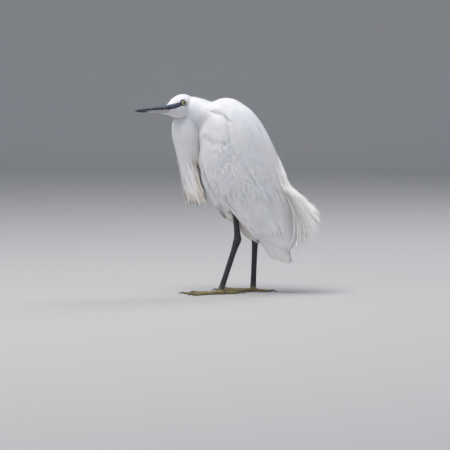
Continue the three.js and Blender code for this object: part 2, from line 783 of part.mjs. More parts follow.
const headGroup = new THREE.Group();
headGroup.position.copy(HEAD_CENTRE);
headGroup.rotation.set(0, HEAD_PITCH, Math.PI + HEAD_TURN, "ZYX");
headGroup.add(sub("head", head(), WHITE));
headGroup.add(sub("bill_upper", without(bill(1), [nostril(1), nostril(-1)]), BLACK_HORN));
headGroup.add(sub("bill_lower", bill(-1), PALE_HORN));
headGroup.add(sub("eye_left", eyeball(1), EYE_YELLOW));
headGroup.add(sub("eye_right", eyeball(-1), EYE_YELLOW));
bird.add(headGroup);
headGroup.updateMatrix();
const placed = (solid) => solid.transform(headGroup.matrix.toArray());
const headCut = placed(fuse([headShell(GAP), bill(-1, GAP)]));

const torsoLoft = (lift) =>
  wrap(18, 17, (u, v) => {
    const k = lerp(TORSO[0][0], TORSO[TORSO.length - 1][0], (1 - Math.cos(Math.PI * v)) / 2);
    return onBody(TORSO, k, 2 * Math.PI * u, lift);
  });
const torsoCut = torsoLoft(GAP);
const limbs = ["left", "right"];
const wingRooms = [wingCore(1, GAP, 7), wingCore(-1, GAP, 7)];
const torso = without(torsoLoft(0), [
  ...wingRooms,
  mantleCore(GAP, 6),
  ...limbs.flatMap((side) => [thigh(side, GAP), tibia(side, GAP), tarsus(side, GAP)]),
]);
bird.add(sub("torso", torso, WHITE));
bird.add(sub("mantle_plumes", without(mantle(), wingRooms), CREAM));
bird.add(sub("wing_left", wing(1), WHITE));
bird.add(sub("wing_right", wing(-1), WHITE));
bird.add(sub("tail", without(tail(), [torsoCut]), WHITE));

const upperNeck = without(nape(), [headCut, torsoCut, mantleCore(GAP)]);
const lowerNeck = fuse([neckFold(), ...breastPlumes()]);
bird.add(sub("neck_upper", upperNeck, WHITE));
bird.add(sub("neck_lower", without(lowerNeck, [headCut, torsoCut, nape(GAP)]), WHITE));

for (const side of limbs) {
  bird.add(sub(`thigh_${side}`, without(thigh(side), wingRooms), WHITE));
  bird.add(sub(`tibia_${side}`, without(tibia(side), [thigh(side, GAP)]), BLACK_SKIN));
  const lowerLeg = without(tarsus(side), [tibia(side, GAP), footPad(side, GAP)]);
  bird.add(sub(`tarsus_${side}`, lowerLeg, BLACK_SKIN));
  bird.add(sub(`foot_pad_${side}`, footPad(side), YELLOW_SKIN));
  const middle = TOES.find(({ name }) => name === "middle");
  for (const plan of TOES) {
    const beside = plan === middle ? [] : [toe(side, middle, GAP)];
    const flesh = without(toe(side, plan), [footPad(side, GAP), ...beside]);
    const horn = without(clawOf(side, plan), [toe(side, plan, GAP)]);
    bird.add(sub(`toe_${plan.name}_${side}`, flesh, YELLOW_SKIN));
    bird.add(sub(`claw_${plan.name}_${side}`, horn, BLACK_HORN));
  }
}

export default bird;
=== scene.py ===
"""A little egret at life size, hunched on both feet with its head turned to its left.

One skin carries a coat of small body feathers. The wings, the tail, the back plumes and the
breast plumes are built vane by vane over the same named stations as the solids.
"""

import logging
import math
from dataclasses import dataclass, field
from enum import Enum
from typing import Callable, Optional, Sequence

import bmesh
import bpy
import numpy as np
from mathutils import Matrix, Vector
from mathutils.bvhtree import BVHTree
from mathutils.kdtree import KDTree


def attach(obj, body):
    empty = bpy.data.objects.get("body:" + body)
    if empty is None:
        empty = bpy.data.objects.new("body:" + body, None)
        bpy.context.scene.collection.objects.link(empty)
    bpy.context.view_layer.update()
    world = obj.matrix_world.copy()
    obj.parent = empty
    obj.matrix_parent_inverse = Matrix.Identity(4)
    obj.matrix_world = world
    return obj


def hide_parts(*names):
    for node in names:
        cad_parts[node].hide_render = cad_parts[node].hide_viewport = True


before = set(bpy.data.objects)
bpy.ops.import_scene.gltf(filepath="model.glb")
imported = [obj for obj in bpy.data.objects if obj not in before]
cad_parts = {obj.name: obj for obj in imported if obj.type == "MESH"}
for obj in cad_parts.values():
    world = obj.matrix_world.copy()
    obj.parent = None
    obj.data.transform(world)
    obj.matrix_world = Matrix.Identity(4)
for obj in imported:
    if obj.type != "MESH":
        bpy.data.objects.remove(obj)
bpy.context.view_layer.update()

LOG = logging.getLogger("egret")
Array = np.ndarray
Colour = tuple[float, float, float]
Place = Callable[[Array, Array], Array]

MM = 0.001
# How near a share has to be to 0 or 1 to count as a pole of a closed form.
END = 1e-6
FOOTPRINT_CENTRE = np.array([-8.55, -19.9, 0.0])

# Stations of the body in millimetres: along the axis, back, belly, half width, how much narrower the belly is.
TORSO = (
    (-31.5, -2, -2.01, 0, 0), (-29, 12, -19, 13, 0), (-20, 27, -34, 26, 0), (-8, 37, -43, 35, 0),
    (10, 47, -52, 43, 0.02), (35, 53, -61, 49, 0.05), (65, 56.5, -73, 51.5, 0.08), (100, 57, -79, 51, 0.12),
    (138, 51, -71.5, 45, 0.2), (170, 39, -58, 33, 0.3), (195, 22, -47, 19, 0.36), (210, 4, -41, 9, 0.36),
    (217, -22, -22.01, 0, 0.36),
)
# The surface that the folded wings lie on, out to their tips.
WING_BED = TORSO[:8] + (
    (138, 55, -71, 46, 0.1), (170, 52, -58, 39, 0.1), (204, 41, -43, 31, 0.08), (230, 33, -33, 26, 0.04),
    (250, 26, -26, 23, 0), (285, 17, -18, 18, 0),
)
# The hanging fold of the neck: height, front x, rear x, half width.
NECK_FOLD = (
    (166, -76, -75.99, 0), (172, -84, -65, 8), (184, -88.4, -60, 12.5), (200, -91, -60, 15),
    (223, -96.5, -60, 18.5), (246, -102.5, -58, 21.5), (268, -107.5, -56, 23.5), (283, -108, -55, 23.5),
    (296, -103, -56, 20), (304, -92, -60, 12), (308, -78, -77.99, 0),
)
# The nape between head and shoulders: x, top, bottom, half width.
NAPE = (
    (-96, 312, 311.99, 0), (-90, 322, 300, 12), (-82, 331, 288, 20), (-70, 333.5, 280, 24.5),
    (-58, 331, 276, 27), (-46, 326.5, 276, 30), (-34, 322, 280, 30), (-24, 300, 299.99, 0),
)
# The head in its own directions: forwards, top, bottom, half width.
HEAD = (
    (-33, -2, -2.01, 0), (-31, 6, -9, 8), (-25, 15, -16, 14.5), (-16, 19.6, -19.5, 17.4),
    (-6, 19.8, -20.5, 17.8), (4, 17.2, -20.3, 15.9), (12, 13.4, -18.8, 12.9), (19, 9.2, -15.2, 9.8),
    (25, 5.4, -11.2, 7.1), (29.5, 3.6, -9.6, 5.8), (30, -3, -3.01, 0),
)
# The bill: share of its length, ridge height, mouth line, keel height, half width.
BILL = (
    (-0.06, 4.2, -4.1, -9.6, 6), (0, 3.5, -3.9, -9.2, 5.6), (0.2, 2.6, -3.5, -8.7, 4.6),
    (0.45, 1.4, -3.2, -7.9, 3.6), (0.72, 0, -2.9, -6.8, 2.5), (0.9, -1.1, -2.8, -5.1, 1.5),
    (1, -2.3, -2.9, -3.2, 0.5),
)


def table_at(rows: Sequence[Sequence[float]], place: Array) -> Array:
    """Reads smooth values from a table.

    Args:
        rows: Table rows, whose first column is the place.
        place: Places of any shape.

    Returns:
        The other columns at each place, in a last axis of their own.
    """
    table = np.asarray(rows, float)
    x, y = table[:, 0], table[:, 1:]
    slope = np.empty_like(y)
    slope[1:-1] = (y[2:] - y[:-2]) / (x[2:] - x[:-2])[:, None]
    slope[0] = (y[1] - y[0]) / (x[1] - x[0])
    slope[-1] = (y[-1] - y[-2]) / (x[-1] - x[-2])
    place = np.clip(np.asarray(place, float), x[0], x[-1])
    i = np.clip(np.searchsorted(x, place, side="right") - 1, 0, len(x) - 2)
    span = (x[i + 1] - x[i])[..., None]
    s = ((place - x[i]) / (x[i + 1] - x[i]))[..., None]
    start, end, rise = slope[i] * span, slope[i + 1] * span, y[i + 1] - y[i]
    return y[i] + s * start + s**2 * (3 * rise - 2 * start - end) + s**3 * (start + end - 2 * rise)


def value_at(rows: Sequence[Sequence[float]], place: Array) -> Array:
    """Reads the one value column of a two-column table."""
    return table_at(rows, place)[..., 0]


def unit(vectors: Array) -> Array:
    """Scales vectors to length one."""
    return vectors / np.maximum(np.linalg.norm(vectors, axis=-1, keepdims=True), 1e-9)


def smooth_step(low: float, high: float, value: Array) -> Array:
    """Rises smoothly from 0 at low to 1 at high."""
    t = np.clip((np.asarray(value, float) - low) / (high - low), 0, 1)
    return t * t * (3 - 2 * t)


def laid_over(colour: Array, other: Array, share: Array) -> Array:
    """Lays another colour over colours by a share for each."""
    return colour + (other - colour) * share[:, None]


def ripple(points: Array, wavelength: float, seed: int) -> Array:
    """Gives a soft seeded unevenness between about -1 and 1 at points in millimetres.

    Args:
        points: Points in millimetres.
        wavelength: Length of a wave in millimetres.
        seed: Number that sets the waves.

    Returns:
        Values from about -1 to 1.
    """
    draw = np.random.default_rng(seed)
    total = np.zeros(points.shape[:-1])
    for _ in range(5):
        heading = unit(draw.normal(size=3)) * 2 * math.pi / (wavelength * draw.uniform(0.7, 1.5))
        total += np.sin(points @ heading + draw.uniform(0, 6.28))
    return total / 2.6


class BodyAxis:
    """The body's own directions, from between the shoulders down and back to the tail."""

    shoulder = np.array([-18.0, 0.0, 300.0])
    tailward = unit(np.array([0.38, 0.0, -0.925]))
    dorsal = np.array([-tailward[2], 0.0, tailward[0]])

    @classmethod
    def place(cls, along: Array, up: Array, right: Array) -> Array:
        """Gives points in millimetres from places along, over and to the right of the axis.

        Args:
            along: Distances along the axis.
            up: Distances above the axis.
            right: Distances to the right.

        Returns:
            Places in millimetres.
        """
        along, up, right = np.broadcast_arrays(along, up, right)
        return (
            cls.shoulder
            + along[..., None] * cls.tailward
            + up[..., None] * cls.dorsal
            + right[..., None] * np.array([0.0, 1.0, 0.0])
        )

    @classmethod
    def bare(cls, rows: Sequence[Sequence[float]], along: Array, angle: Array) -> Array:
        """Gives points on a body surface; the angle runs from the back by the bird's left to the belly.

        Args:
            rows: Rows of the table.
            along: Distances along the axis.
            angle: Angles round it in radians.

        Returns:
            An array, a row for each point.
        """
        back, belly, half, keel = np.moveaxis(table_at(rows, along), -1, 0)
        up = (back + belly) / 2 + (back - belly) / 2 * np.cos(angle)
        return cls.place(along, up, -half * np.sin(angle) * (1 - keel * (1 - np.cos(angle)) / 2))

    @classmethod
    def surface(cls, rows: Sequence[Sequence[float]], along: Array, angle: Array, lift: Array = 0.0) -> Array:
        """Gives points raised off a body surface.

        Args:
            rows: Stations of the surface.
            along: Places along the axis in millimetres.
            angle: Angles round the axis in radians.
            lift: Height over the surface in millimetres.

        Returns:
            Points in millimetres.
        """
        along, angle, lift = np.broadcast_arrays(
            np.asarray(along, float), np.asarray(angle, float), np.asarray(lift, float)
        )
        ahead = cls.bare(rows, np.minimum(along + 0.5, rows[-1][0]), angle)
        behind = cls.bare(rows, np.maximum(along - 0.5, rows[0][0]), angle)
        turn = cls.bare(rows, along, angle + 0.02) - cls.bare(rows, along, angle - 0.02)
        normal = np.cross(turn, ahead - behind)
        flat = np.linalg.norm(normal, axis=-1) < 1e-6
        ends = np.where(along < 60, -1.0, 1.0)[..., None] * cls.tailward
        normal = unit(np.where(flat[..., None], ends, normal))
        return cls.bare(rows, along, angle) + normal * lift[..., None]

    @classmethod
    def raised(cls, along: Array, angle: Array, lift: Array) -> tuple[Array, Array]:
        """Gives points over the wing's bed and the ways out from it.

        Args:
            along: Places along the axis in millimetres.
            angle: Angles round the axis in radians.
            lift: Height over the bed in millimetres.

        Returns:
            Points in millimetres, and a vector of one millimetre at each.
        """
        points = cls.surface(WING_BED, along, angle, lift)
        return points, cls.surface(WING_BED, along, angle, lift + 1) - points

    @classmethod
    def coordinates(cls, points: Array) -> tuple[Array, Array]:
        """Gives the place along the axis and the angle round it of points in millimetres.

        Args:
            points: Points in millimetres.

        Returns:
            Distances along the axis and angles round it.
        """
        off = points - cls.shoulder
        along, up = off @ cls.tailward, off @ cls.dorsal
        back, belly, half, keel = np.moveaxis(table_at(WING_BED, along), -1, 0)
        tall, side = np.maximum((back - belly) / 2, 1), -off[..., 1] / np.maximum(half, 1)
        angle = np.arctan2(side, (up - (back + belly) / 2) / tall)
        for _ in range(3):
            angle = np.arctan2(side / (1 - keel * (1 - np.cos(angle)) / 2), (up - (back + belly) / 2) / tall)
        return along, angle


class HeadFrame:
    """The head's own directions: forwards along the bill, to the bird's left, and up."""

    centre = np.array([-94.0, -15.0, 317.5])
    turn = math.radians(53)
    pitch = math.radians(2)
    bill_base = 27.0
    bill_length = 80.0

    @classmethod
    def axes(cls) -> Array:
        """Gives the head's three directions as the rows of a matrix.

        Returns:
            The three axes, one in each row.
        """
        c, s = math.cos(math.pi + cls.turn), math.sin(math.pi + cls.turn)
        spin = np.array([[c, -s, 0], [s, c, 0], [0, 0, 1]])
        c, s = math.cos(cls.pitch), math.sin(cls.pitch)
        nod = np.array([[c, 0, s], [0, 1, 0], [-s, 0, c]])
        return (spin @ nod).T

    @classmethod
    def to_bird(cls, points: Array) -> Array:
        """Turns points of the head into the bird's millimetres."""
        return np.asarray(points, float) @ cls.axes() + cls.centre

    @classmethod
    def from_bird(cls, points: Array) -> Array:
        """Turns points in the bird's millimetres into the head's own."""
        return (points - cls.centre) @ cls.axes().T


def metres(points: Array) -> Array:
    """Turns the bird's millimetres into the frame's metres."""
    return (np.asarray(points, float) - FOOTPRINT_CENTRE) * MM


def millimetres(points: Array) -> Array:
    """Turns the frame's metres into the bird's millimetres."""
    return np.asarray(points, float) / MM + FOOTPRINT_CENTRE


# Materials


class Wire:
    """One socket of a material, on which plain arithmetic adds Math nodes."""

    def __init__(self, desk: "Desk", socket: bpy.types.NodeSocket) -> None:
        """Keeps the desk that the nodes go on and the socket."""
        self.desk = desk
        self.socket = socket

    def _math(self, operation: str, *values: "Wire | float") -> "Wire":
        """Adds one Math node over the values."""
        return self.desk.node("ShaderNodeMath", {"operation": operation}, *values)

    def __add__(self, other: "Wire | float") -> "Wire":
        """Adds."""
        return self._math("ADD", self, other)

    __radd__ = __add__

    def __mul__(self, other: "Wire | float") -> "Wire":
        """Multiplies."""
        return self._math("MULTIPLY", self, other)

    __rmul__ = __mul__

    def __sub__(self, other: "Wire | float") -> "Wire":
        """Subtracts."""
        return self._math("SUBTRACT", self, other)

    def __rsub__(self, other: float) -> "Wire":
        """Subtracts from a number."""
        return self._math("SUBTRACT", other, self)

    def sine(self) -> "Wire":
        """Takes the sine."""
        return self._math("SINE", self)

    def size(self) -> "Wire":
        """Takes the size without its sign."""
        return self._math("ABSOLUTE", self)

    def ramp(self, low: float, high: float) -> "Wire":
        """Rises smoothly from 0 at low to 1 at high."""
        settings = {"interpolation_type": "SMOOTHSTEP"}
        return self.desk.node("ShaderNodeMapRange", settings, self, low, high, 0.0, 1.0)


class Desk:
    """The node tree of one material."""

    def __init__(self, name: str) -> None:
        """Makes an empty material with its output.

        Args:
            name: Name of the material.
        """
        self.material = bpy.data.materials.new(name)
        self.material.use_nodes = True
        self.tree = self.material.node_tree
        self.tree.nodes.clear()
        self.output = self.tree.nodes.new("ShaderNodeOutputMaterial")

    def node(
        self, kind: str, settings: Optional[dict] = None, *values: object, out: "int | str" = 0, **named: object
    ) -> Wire:
        """Adds one node.

        Args:
            kind: Node type.
            settings: Properties that are set first.
            *values: Values or wires for the inputs in order; None leaves one alone.
            out: Which output the wire stands for.
            **named: Values or wires for inputs by name, with _ for a space.

        Returns:
            A wire on the output.
        """
        made = self.tree.nodes.new(kind)
        for key, value in (settings or {}).items():
            setattr(made, key, value)
        pairs = [(made.inputs[i], value) for i, value in enumerate(values)]
        pairs += [(made.inputs[key.replace("_", " ")], value) for key, value in named.items()]
        for socket, value in pairs:
            if isinstance(value, Wire):
                self.tree.links.new(value.socket, socket)
            elif value is not None:
                socket.default_value = value
        return Wire(self, made.outputs[out])

    def mix(self, factor: "Wire | float", first: object, second: object) -> Wire:
        """Mixes two colours.

        Args:
            factor: Share of the second colour.
            first: Colour or wire.
            second: Colour or wire.

        Returns:
            A wire on the mixed colour, which the node has after its numbers and vectors.
        """
        ends = [(*colour, 1.0) if isinstance(colour, tuple) else colour for colour in (first, second)]
        return self.node("ShaderNodeMix", {"data_type": "RGBA"}, factor, *[None] * 5, *ends, out=2)

    def attribute(self, name: str, out: str = "Color") -> Wire:
        """Reads an attribute of the mesh."""
        return self.node("ShaderNodeAttribute", {"attribute_name": name}, out=out)

    def place(self) -> Wire:
        """Reads the place on the object."""
        return self.node("ShaderNodeTexCoord", out="Object")

    def noise(self, scale: float, detail: float = 3.0, at: Optional[Wire] = None) -> Wire:
        """Gives noise between 0 and 1 at a place."""
        return self.node("ShaderNodeTexNoise", None, Vector=at or self.place(), Scale=scale, Detail=detail, out=0)

    def uv(self, name: str) -> tuple[Wire, Wire]:
        """Reads the two numbers of a UV map.

        Args:
            name: Name of the UV map.

        Returns:
            Both coordinates.
        """
        source = self.node("ShaderNodeUVMap", {"uv_map": name})
        parts = self.node("ShaderNodeSeparateXYZ", None, source)
        return parts, Wire(self, parts.socket.node.outputs[1])

    def bump(self, height: Wire, strength: float, distance: float) -> Wire:
        """Turns a height into a normal."""
        return self.node("ShaderNodeBump", None, Strength=strength, Distance=distance, Height=height)

    def finish(self, **inputs: object) -> bpy.types.Material:
        """Ends the material in one principled shader and gives it back.

        Args:
            inputs: Values and wires for the shader's inputs.

        Returns:
            The material.
        """
        shader = self.node("ShaderNodeBsdfPrincipled", None, **inputs)
        self.tree.links.new(shader.socket, self.output.inputs[0])
        return self.material


@dataclass(frozen=True)
class Plumage:
    """White feathers whose tint comes from the mesh, with fine barbs along each vane."""

    name: str = "plumage"
    barbs: float = 46.0
    relief: float = 0.35
    roughness: float = 0.62
    sheen: float = 0.12

    def build(self) -> bpy.types.Material:
        """Makes the material.

        Returns:
            The material.
        """
        desk = Desk(self.name)
        across, along = desk.uv("Vane")
        off_shaft = (across - 0.5).size() * 2.0
        barbs = ((along * 1.6 - off_shaft * 0.55) * (self.barbs * 2 * math.pi)).sine()
        shaft = 1.0 - off_shaft.ramp(0.02, 0.1)
        mottle = desk.noise(240.0, 2.0)
        tint = desk.attribute("tint")
        cool = desk.mix(mottle.ramp(0.42, 0.7) * 0.22, tint, (0.83, 0.845, 0.9))
        warm = desk.mix(shaft * 0.18, cool, (0.9, 0.84, 0.74))
        height = barbs * 0.35 + shaft * 1.2 + mottle * 0.8
        return desk.finish(
            Base_Color=warm,
            Roughness=mottle * 0.14 + (self.roughness - 0.07),
            Sheen_Weight=self.sheen,
            Sheen_Roughness=0.5,
            Normal=desk.bump(height, self.relief, 0.0002),
        )


@dataclass(frozen=True)
class Horn:
    """Bill and claw horn: satin, tinted by the mesh, with fine lengthwise streaks."""

    name: str
    roughness: float = 0.3
    streak: float = 900.0
    coat: float = 0.25

    def build(self) -> bpy.types.Material:
        """Makes the material.

        Returns:
            The material.
        """
        desk = Desk(self.name)
        streaks = desk.noise(self.streak, 4.0)
        broad = desk.noise(120.0, 3.0)
        tint = desk.attribute("tint")
        worn = desk.mix(broad.ramp(0.5, 0.78) * 0.25, tint, (0.06, 0.07, 0.1))
        return desk.finish(
            Base_Color=worn,
            Roughness=streaks * 0.22 + (self.roughness - 0.1),
            Coat_Weight=self.coat,
            Coat_Roughness=0.2,
            Normal=desk.bump(streaks * 0.7 + broad * 0.5, 0.35, 0.0003),
        )


@dataclass(frozen=True)
class ScaledSkin:
    """Leg and toe skin: small net scales between the modelled plates, tinted by the mesh, with painted sheen in broad
    patches.
    """

    name: str
    cell: float = 700.0
    roughness: float = 0.42
    groove: Colour = (0.02, 0.02, 0.025)
    edge: Colour = (0.05, 0.06, 0.09)

    def build(self) -> bpy.types.Material:
        """Makes the material.

        Returns:
            The material.
        """
        desk = Desk(self.name)
        feature = {"feature": "DISTANCE_TO_EDGE"}
        cells = desk.node("ShaderNodeTexVoronoi", feature, Vector=desk.place(), Scale=self.cell)
        plate = cells.ramp(0.02, 0.22)
        broad = desk.noise(190.0, 4.0)
        tint = desk.attribute("tint")
        # Painted highlight: broad noise patches of the lighter sheen colour stand in for the lamps' sheen on the
        # plates.
        lit = desk.mix(broad.ramp(0.5, 0.75) * 0.5, tint, self.edge)
        toned = desk.mix(plate, self.groove, lit)
        return desk.finish(
            Base_Color=toned,
            Roughness=broad * 0.25 + (self.roughness - 0.12),
            Coat_Weight=0.1,
            Normal=desk.bump(plate + broad * 0.5, 0.6, 0.00035),
        )


@dataclass(frozen=True)
class BareSkin:
    """Thin soft skin of the lores and lids, tinted by the mesh."""

    name: str = "bare_skin"
    roughness: float = 0.5

    def build(self) -> bpy.types.Material:
        """Makes the material.

        Returns:
            The material.
        """
        desk = Desk(self.name)
        pores = desk.noise(1500.0, 4.0)
        folds = desk.noise(420.0, 3.0)
        tint = desk.attribute("tint")
        toned = desk.mix(pores.ramp(0.45, 0.75) * 0.12, tint, (0.3, 0.33, 0.42))
        return desk.finish(
            Base_Color=toned,
            Roughness=folds * 0.2 + (self.roughness - 0.1),
            Normal=desk.bump(pores * 0.5 + folds, 0.5, 0.0003),
        )


@dataclass(frozen=True)
class EyeFinish:
    """A wet eye: black pupil, pale yellow iris with fine rays, and a dark rim."""

    name: str = "eye"
    pupil: float = 0.1
    iris: float = 0.206

    def build(self) -> bpy.types.Material:
        """Makes the material.

        Returns:
            The material.
        """
        desk = Desk(self.name)
        polar = desk.attribute("polar", "Fac")
        rays = desk.noise(2600.0, 4.0)
        iris = desk.mix(rays.ramp(0.35, 0.7) * 0.6, (0.62, 0.59, 0.32), (0.42, 0.38, 0.16))
        ringed = desk.mix(polar.ramp(self.pupil + 0.04, self.pupil + 0.015), iris, (0.34, 0.28, 0.1))
        pupil = desk.mix(polar.ramp(self.pupil - 0.004, self.pupil + 0.006), (0.004, 0.004, 0.006), ringed)
        eye = desk.mix(polar.ramp(self.iris - 0.012, self.iris + 0.014), pupil, (0.02, 0.018, 0.02))
        return desk.finish(
            Base_Color=eye, Roughness=0.1, Specular_IOR_Level=0.25, Coat_Weight=0.5, Coat_Roughness=0.02
        )


@dataclass(frozen=True)
class StudioFinish:
    """The plain pale matt sweep under the bird."""

    name: str = "studio_sweep"
    colour: Colour = (0.5, 0.495, 0.485)

    def build(self) -> bpy.types.Material:
        """Makes the material.

        Returns:
            The material.
        """
        desk = Desk(self.name)
        grain = desk.noise(30.0, 2.0)
        toned = desk.mix(grain * 0.05, self.colour, (0.56, 0.555, 0.545))
        return desk.finish(Base_Color=toned, Roughness=0.9)


class Finishes:
    """Every finish of the bird, each made once."""

    def __init__(self) -> None:
        """Builds the materials."""
        self.plumage = Plumage().build()
        self.plumes = Plumage(name="loose_plumes", barbs=30.0, relief=0.2, roughness=0.55, sheen=0.2).build()
        self.horn = Horn(name="bill_horn").build()
        self.claw = Horn(name="claw_horn", roughness=0.35, streak=1600.0).build()
        self.leg = ScaledSkin(name="leg_skin").build()
        toe = ScaledSkin(name="toe_skin", cell=820.0, groove=(0.13, 0.11, 0.05), edge=(0.55, 0.5, 0.25))
        self.toe = toe.build()
        self.bare = BareSkin().build()
        self.eye = EyeFinish().build()
        self.sweep = StudioFinish().build()


class Slot(Enum):
    """Material slots of the record."""

    PLUMAGE = "plumage_white"
    PLUMES = "plumes_cream"
    BILL = "bill_black"
    BILL_PALE = "bill_pale"
    EYE = "eye_yellow"
    LEG = "leg_black"
    TOE = "toe_yellow"
    CLAW = "claw_black"


# Meshes


def link_piece(
    name: str, mesh: bpy.types.Mesh, finish: bpy.types.Material, slot: Slot, nodes: Sequence[str] = ()
) -> bpy.types.Object:
    """Puts a finished mesh in the scene as a piece of the bird.

    Args:
        name: Name of the piece.
        mesh: Its mesh, in metres in the shared frame.
        finish: Its material.
        slot: The record's material slot; not used.
        nodes: Solids that the piece stands for.

    Returns:
        The new object.
    """
    mesh.materials.clear()
    mesh.materials.append(finish)
    piece = bpy.data.objects.new(name, mesh)
    bpy.context.scene.collection.objects.link(piece)
    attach(piece, "root")
    if nodes:
        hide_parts(*nodes)
    LOG.info("%s: %d faces", name, len(mesh.polygons))
    return piece


def set_point_colour(mesh: bpy.types.Mesh, name: str, colours: Array) -> None:
    """Stores a colour for each point of a mesh.

    Args:
        mesh: The mesh.
        name: Name of the colour layer.
        colours: One colour for each point.
    """
    layer = mesh.attributes.new(name, "FLOAT_COLOR", "POINT")
    full = np.ones((len(mesh.vertices), 4))
    full[:, :3] = colours
    layer.data.foreach_set("color", full.ravel())


def mesh_points(mesh: bpy.types.Mesh) -> Array:
    """Reads a mesh's points in metres.

    Args:
        mesh: The mesh.

    Returns:
        Its points in metres.
    """
    flat = np.empty(len(mesh.vertices) * 3)
    mesh.vertices.foreach_get("co", flat)
    return flat.reshape(-1, 3)


def form_points(form: bmesh.types.BMesh) -> Array:
    """Reads a form's points."""
    return np.array([v.co for v in form.verts])


def move_points(form: bmesh.types.BMesh, places: Array) -> None:
    """Moves a form's points to places in metres."""
    for vertex, place in zip(form.verts, places):
        vertex.co = place


def smoothed(form: bmesh.types.BMesh) -> bmesh.types.BMesh:
    """Turns a form's faces outwards and shades them smooth.

    Args:
        form: The form, in metres.

    Returns:
        The form, in metres.
    """
    form.normal_update()
    bmesh.ops.recalc_face_normals(form, faces=form.faces)
    for face in form.faces:
        face.smooth = True
    return form


def wrapped(around: int, along: int, place: Place) -> bmesh.types.BMesh:
    """Shapes a sphere into a closed skin.

    Args:
        around: Faces round it.
        along: Faces from end to end.
        place: Gives points in millimetres from an angle in radians and a share from end to end.

    Returns:
        A bmesh in metres.
    """
    form = bmesh.new()
    bmesh.ops.create_uvsphere(form, u_segments=around, v_segments=along, radius=1.0)
    ball = form_points(form)
    share = np.arccos(np.clip(-ball[:, 2], -1, 1)) / math.pi
    angle = np.where(np.hypot(ball[:, 0], ball[:, 1]) > 1e-5, np.arctan2(ball[:, 1], ball[:, 0]), 0.0)
    move_points(form, metres(place(angle, share)))
    return smoothed(form)


def to_mesh(name: str, *forms: bmesh.types.BMesh) -> bpy.types.Mesh:
    """Joins bmeshes into one mesh and frees them.

    Args:
        name: Its name.
        forms: Forms that go into it.

    Returns:
        The mesh, in metres.
    """
    joined = bmesh.new()
    for form in forms:
        part = bpy.data.meshes.new("part")
        form.to_mesh(part)
        form.free()
        joined.from_mesh(part)
        bpy.data.meshes.remove(part)
    mesh = bpy.data.meshes.new(name)
    joined.to_mesh(mesh)
    joined.free()
    return mesh


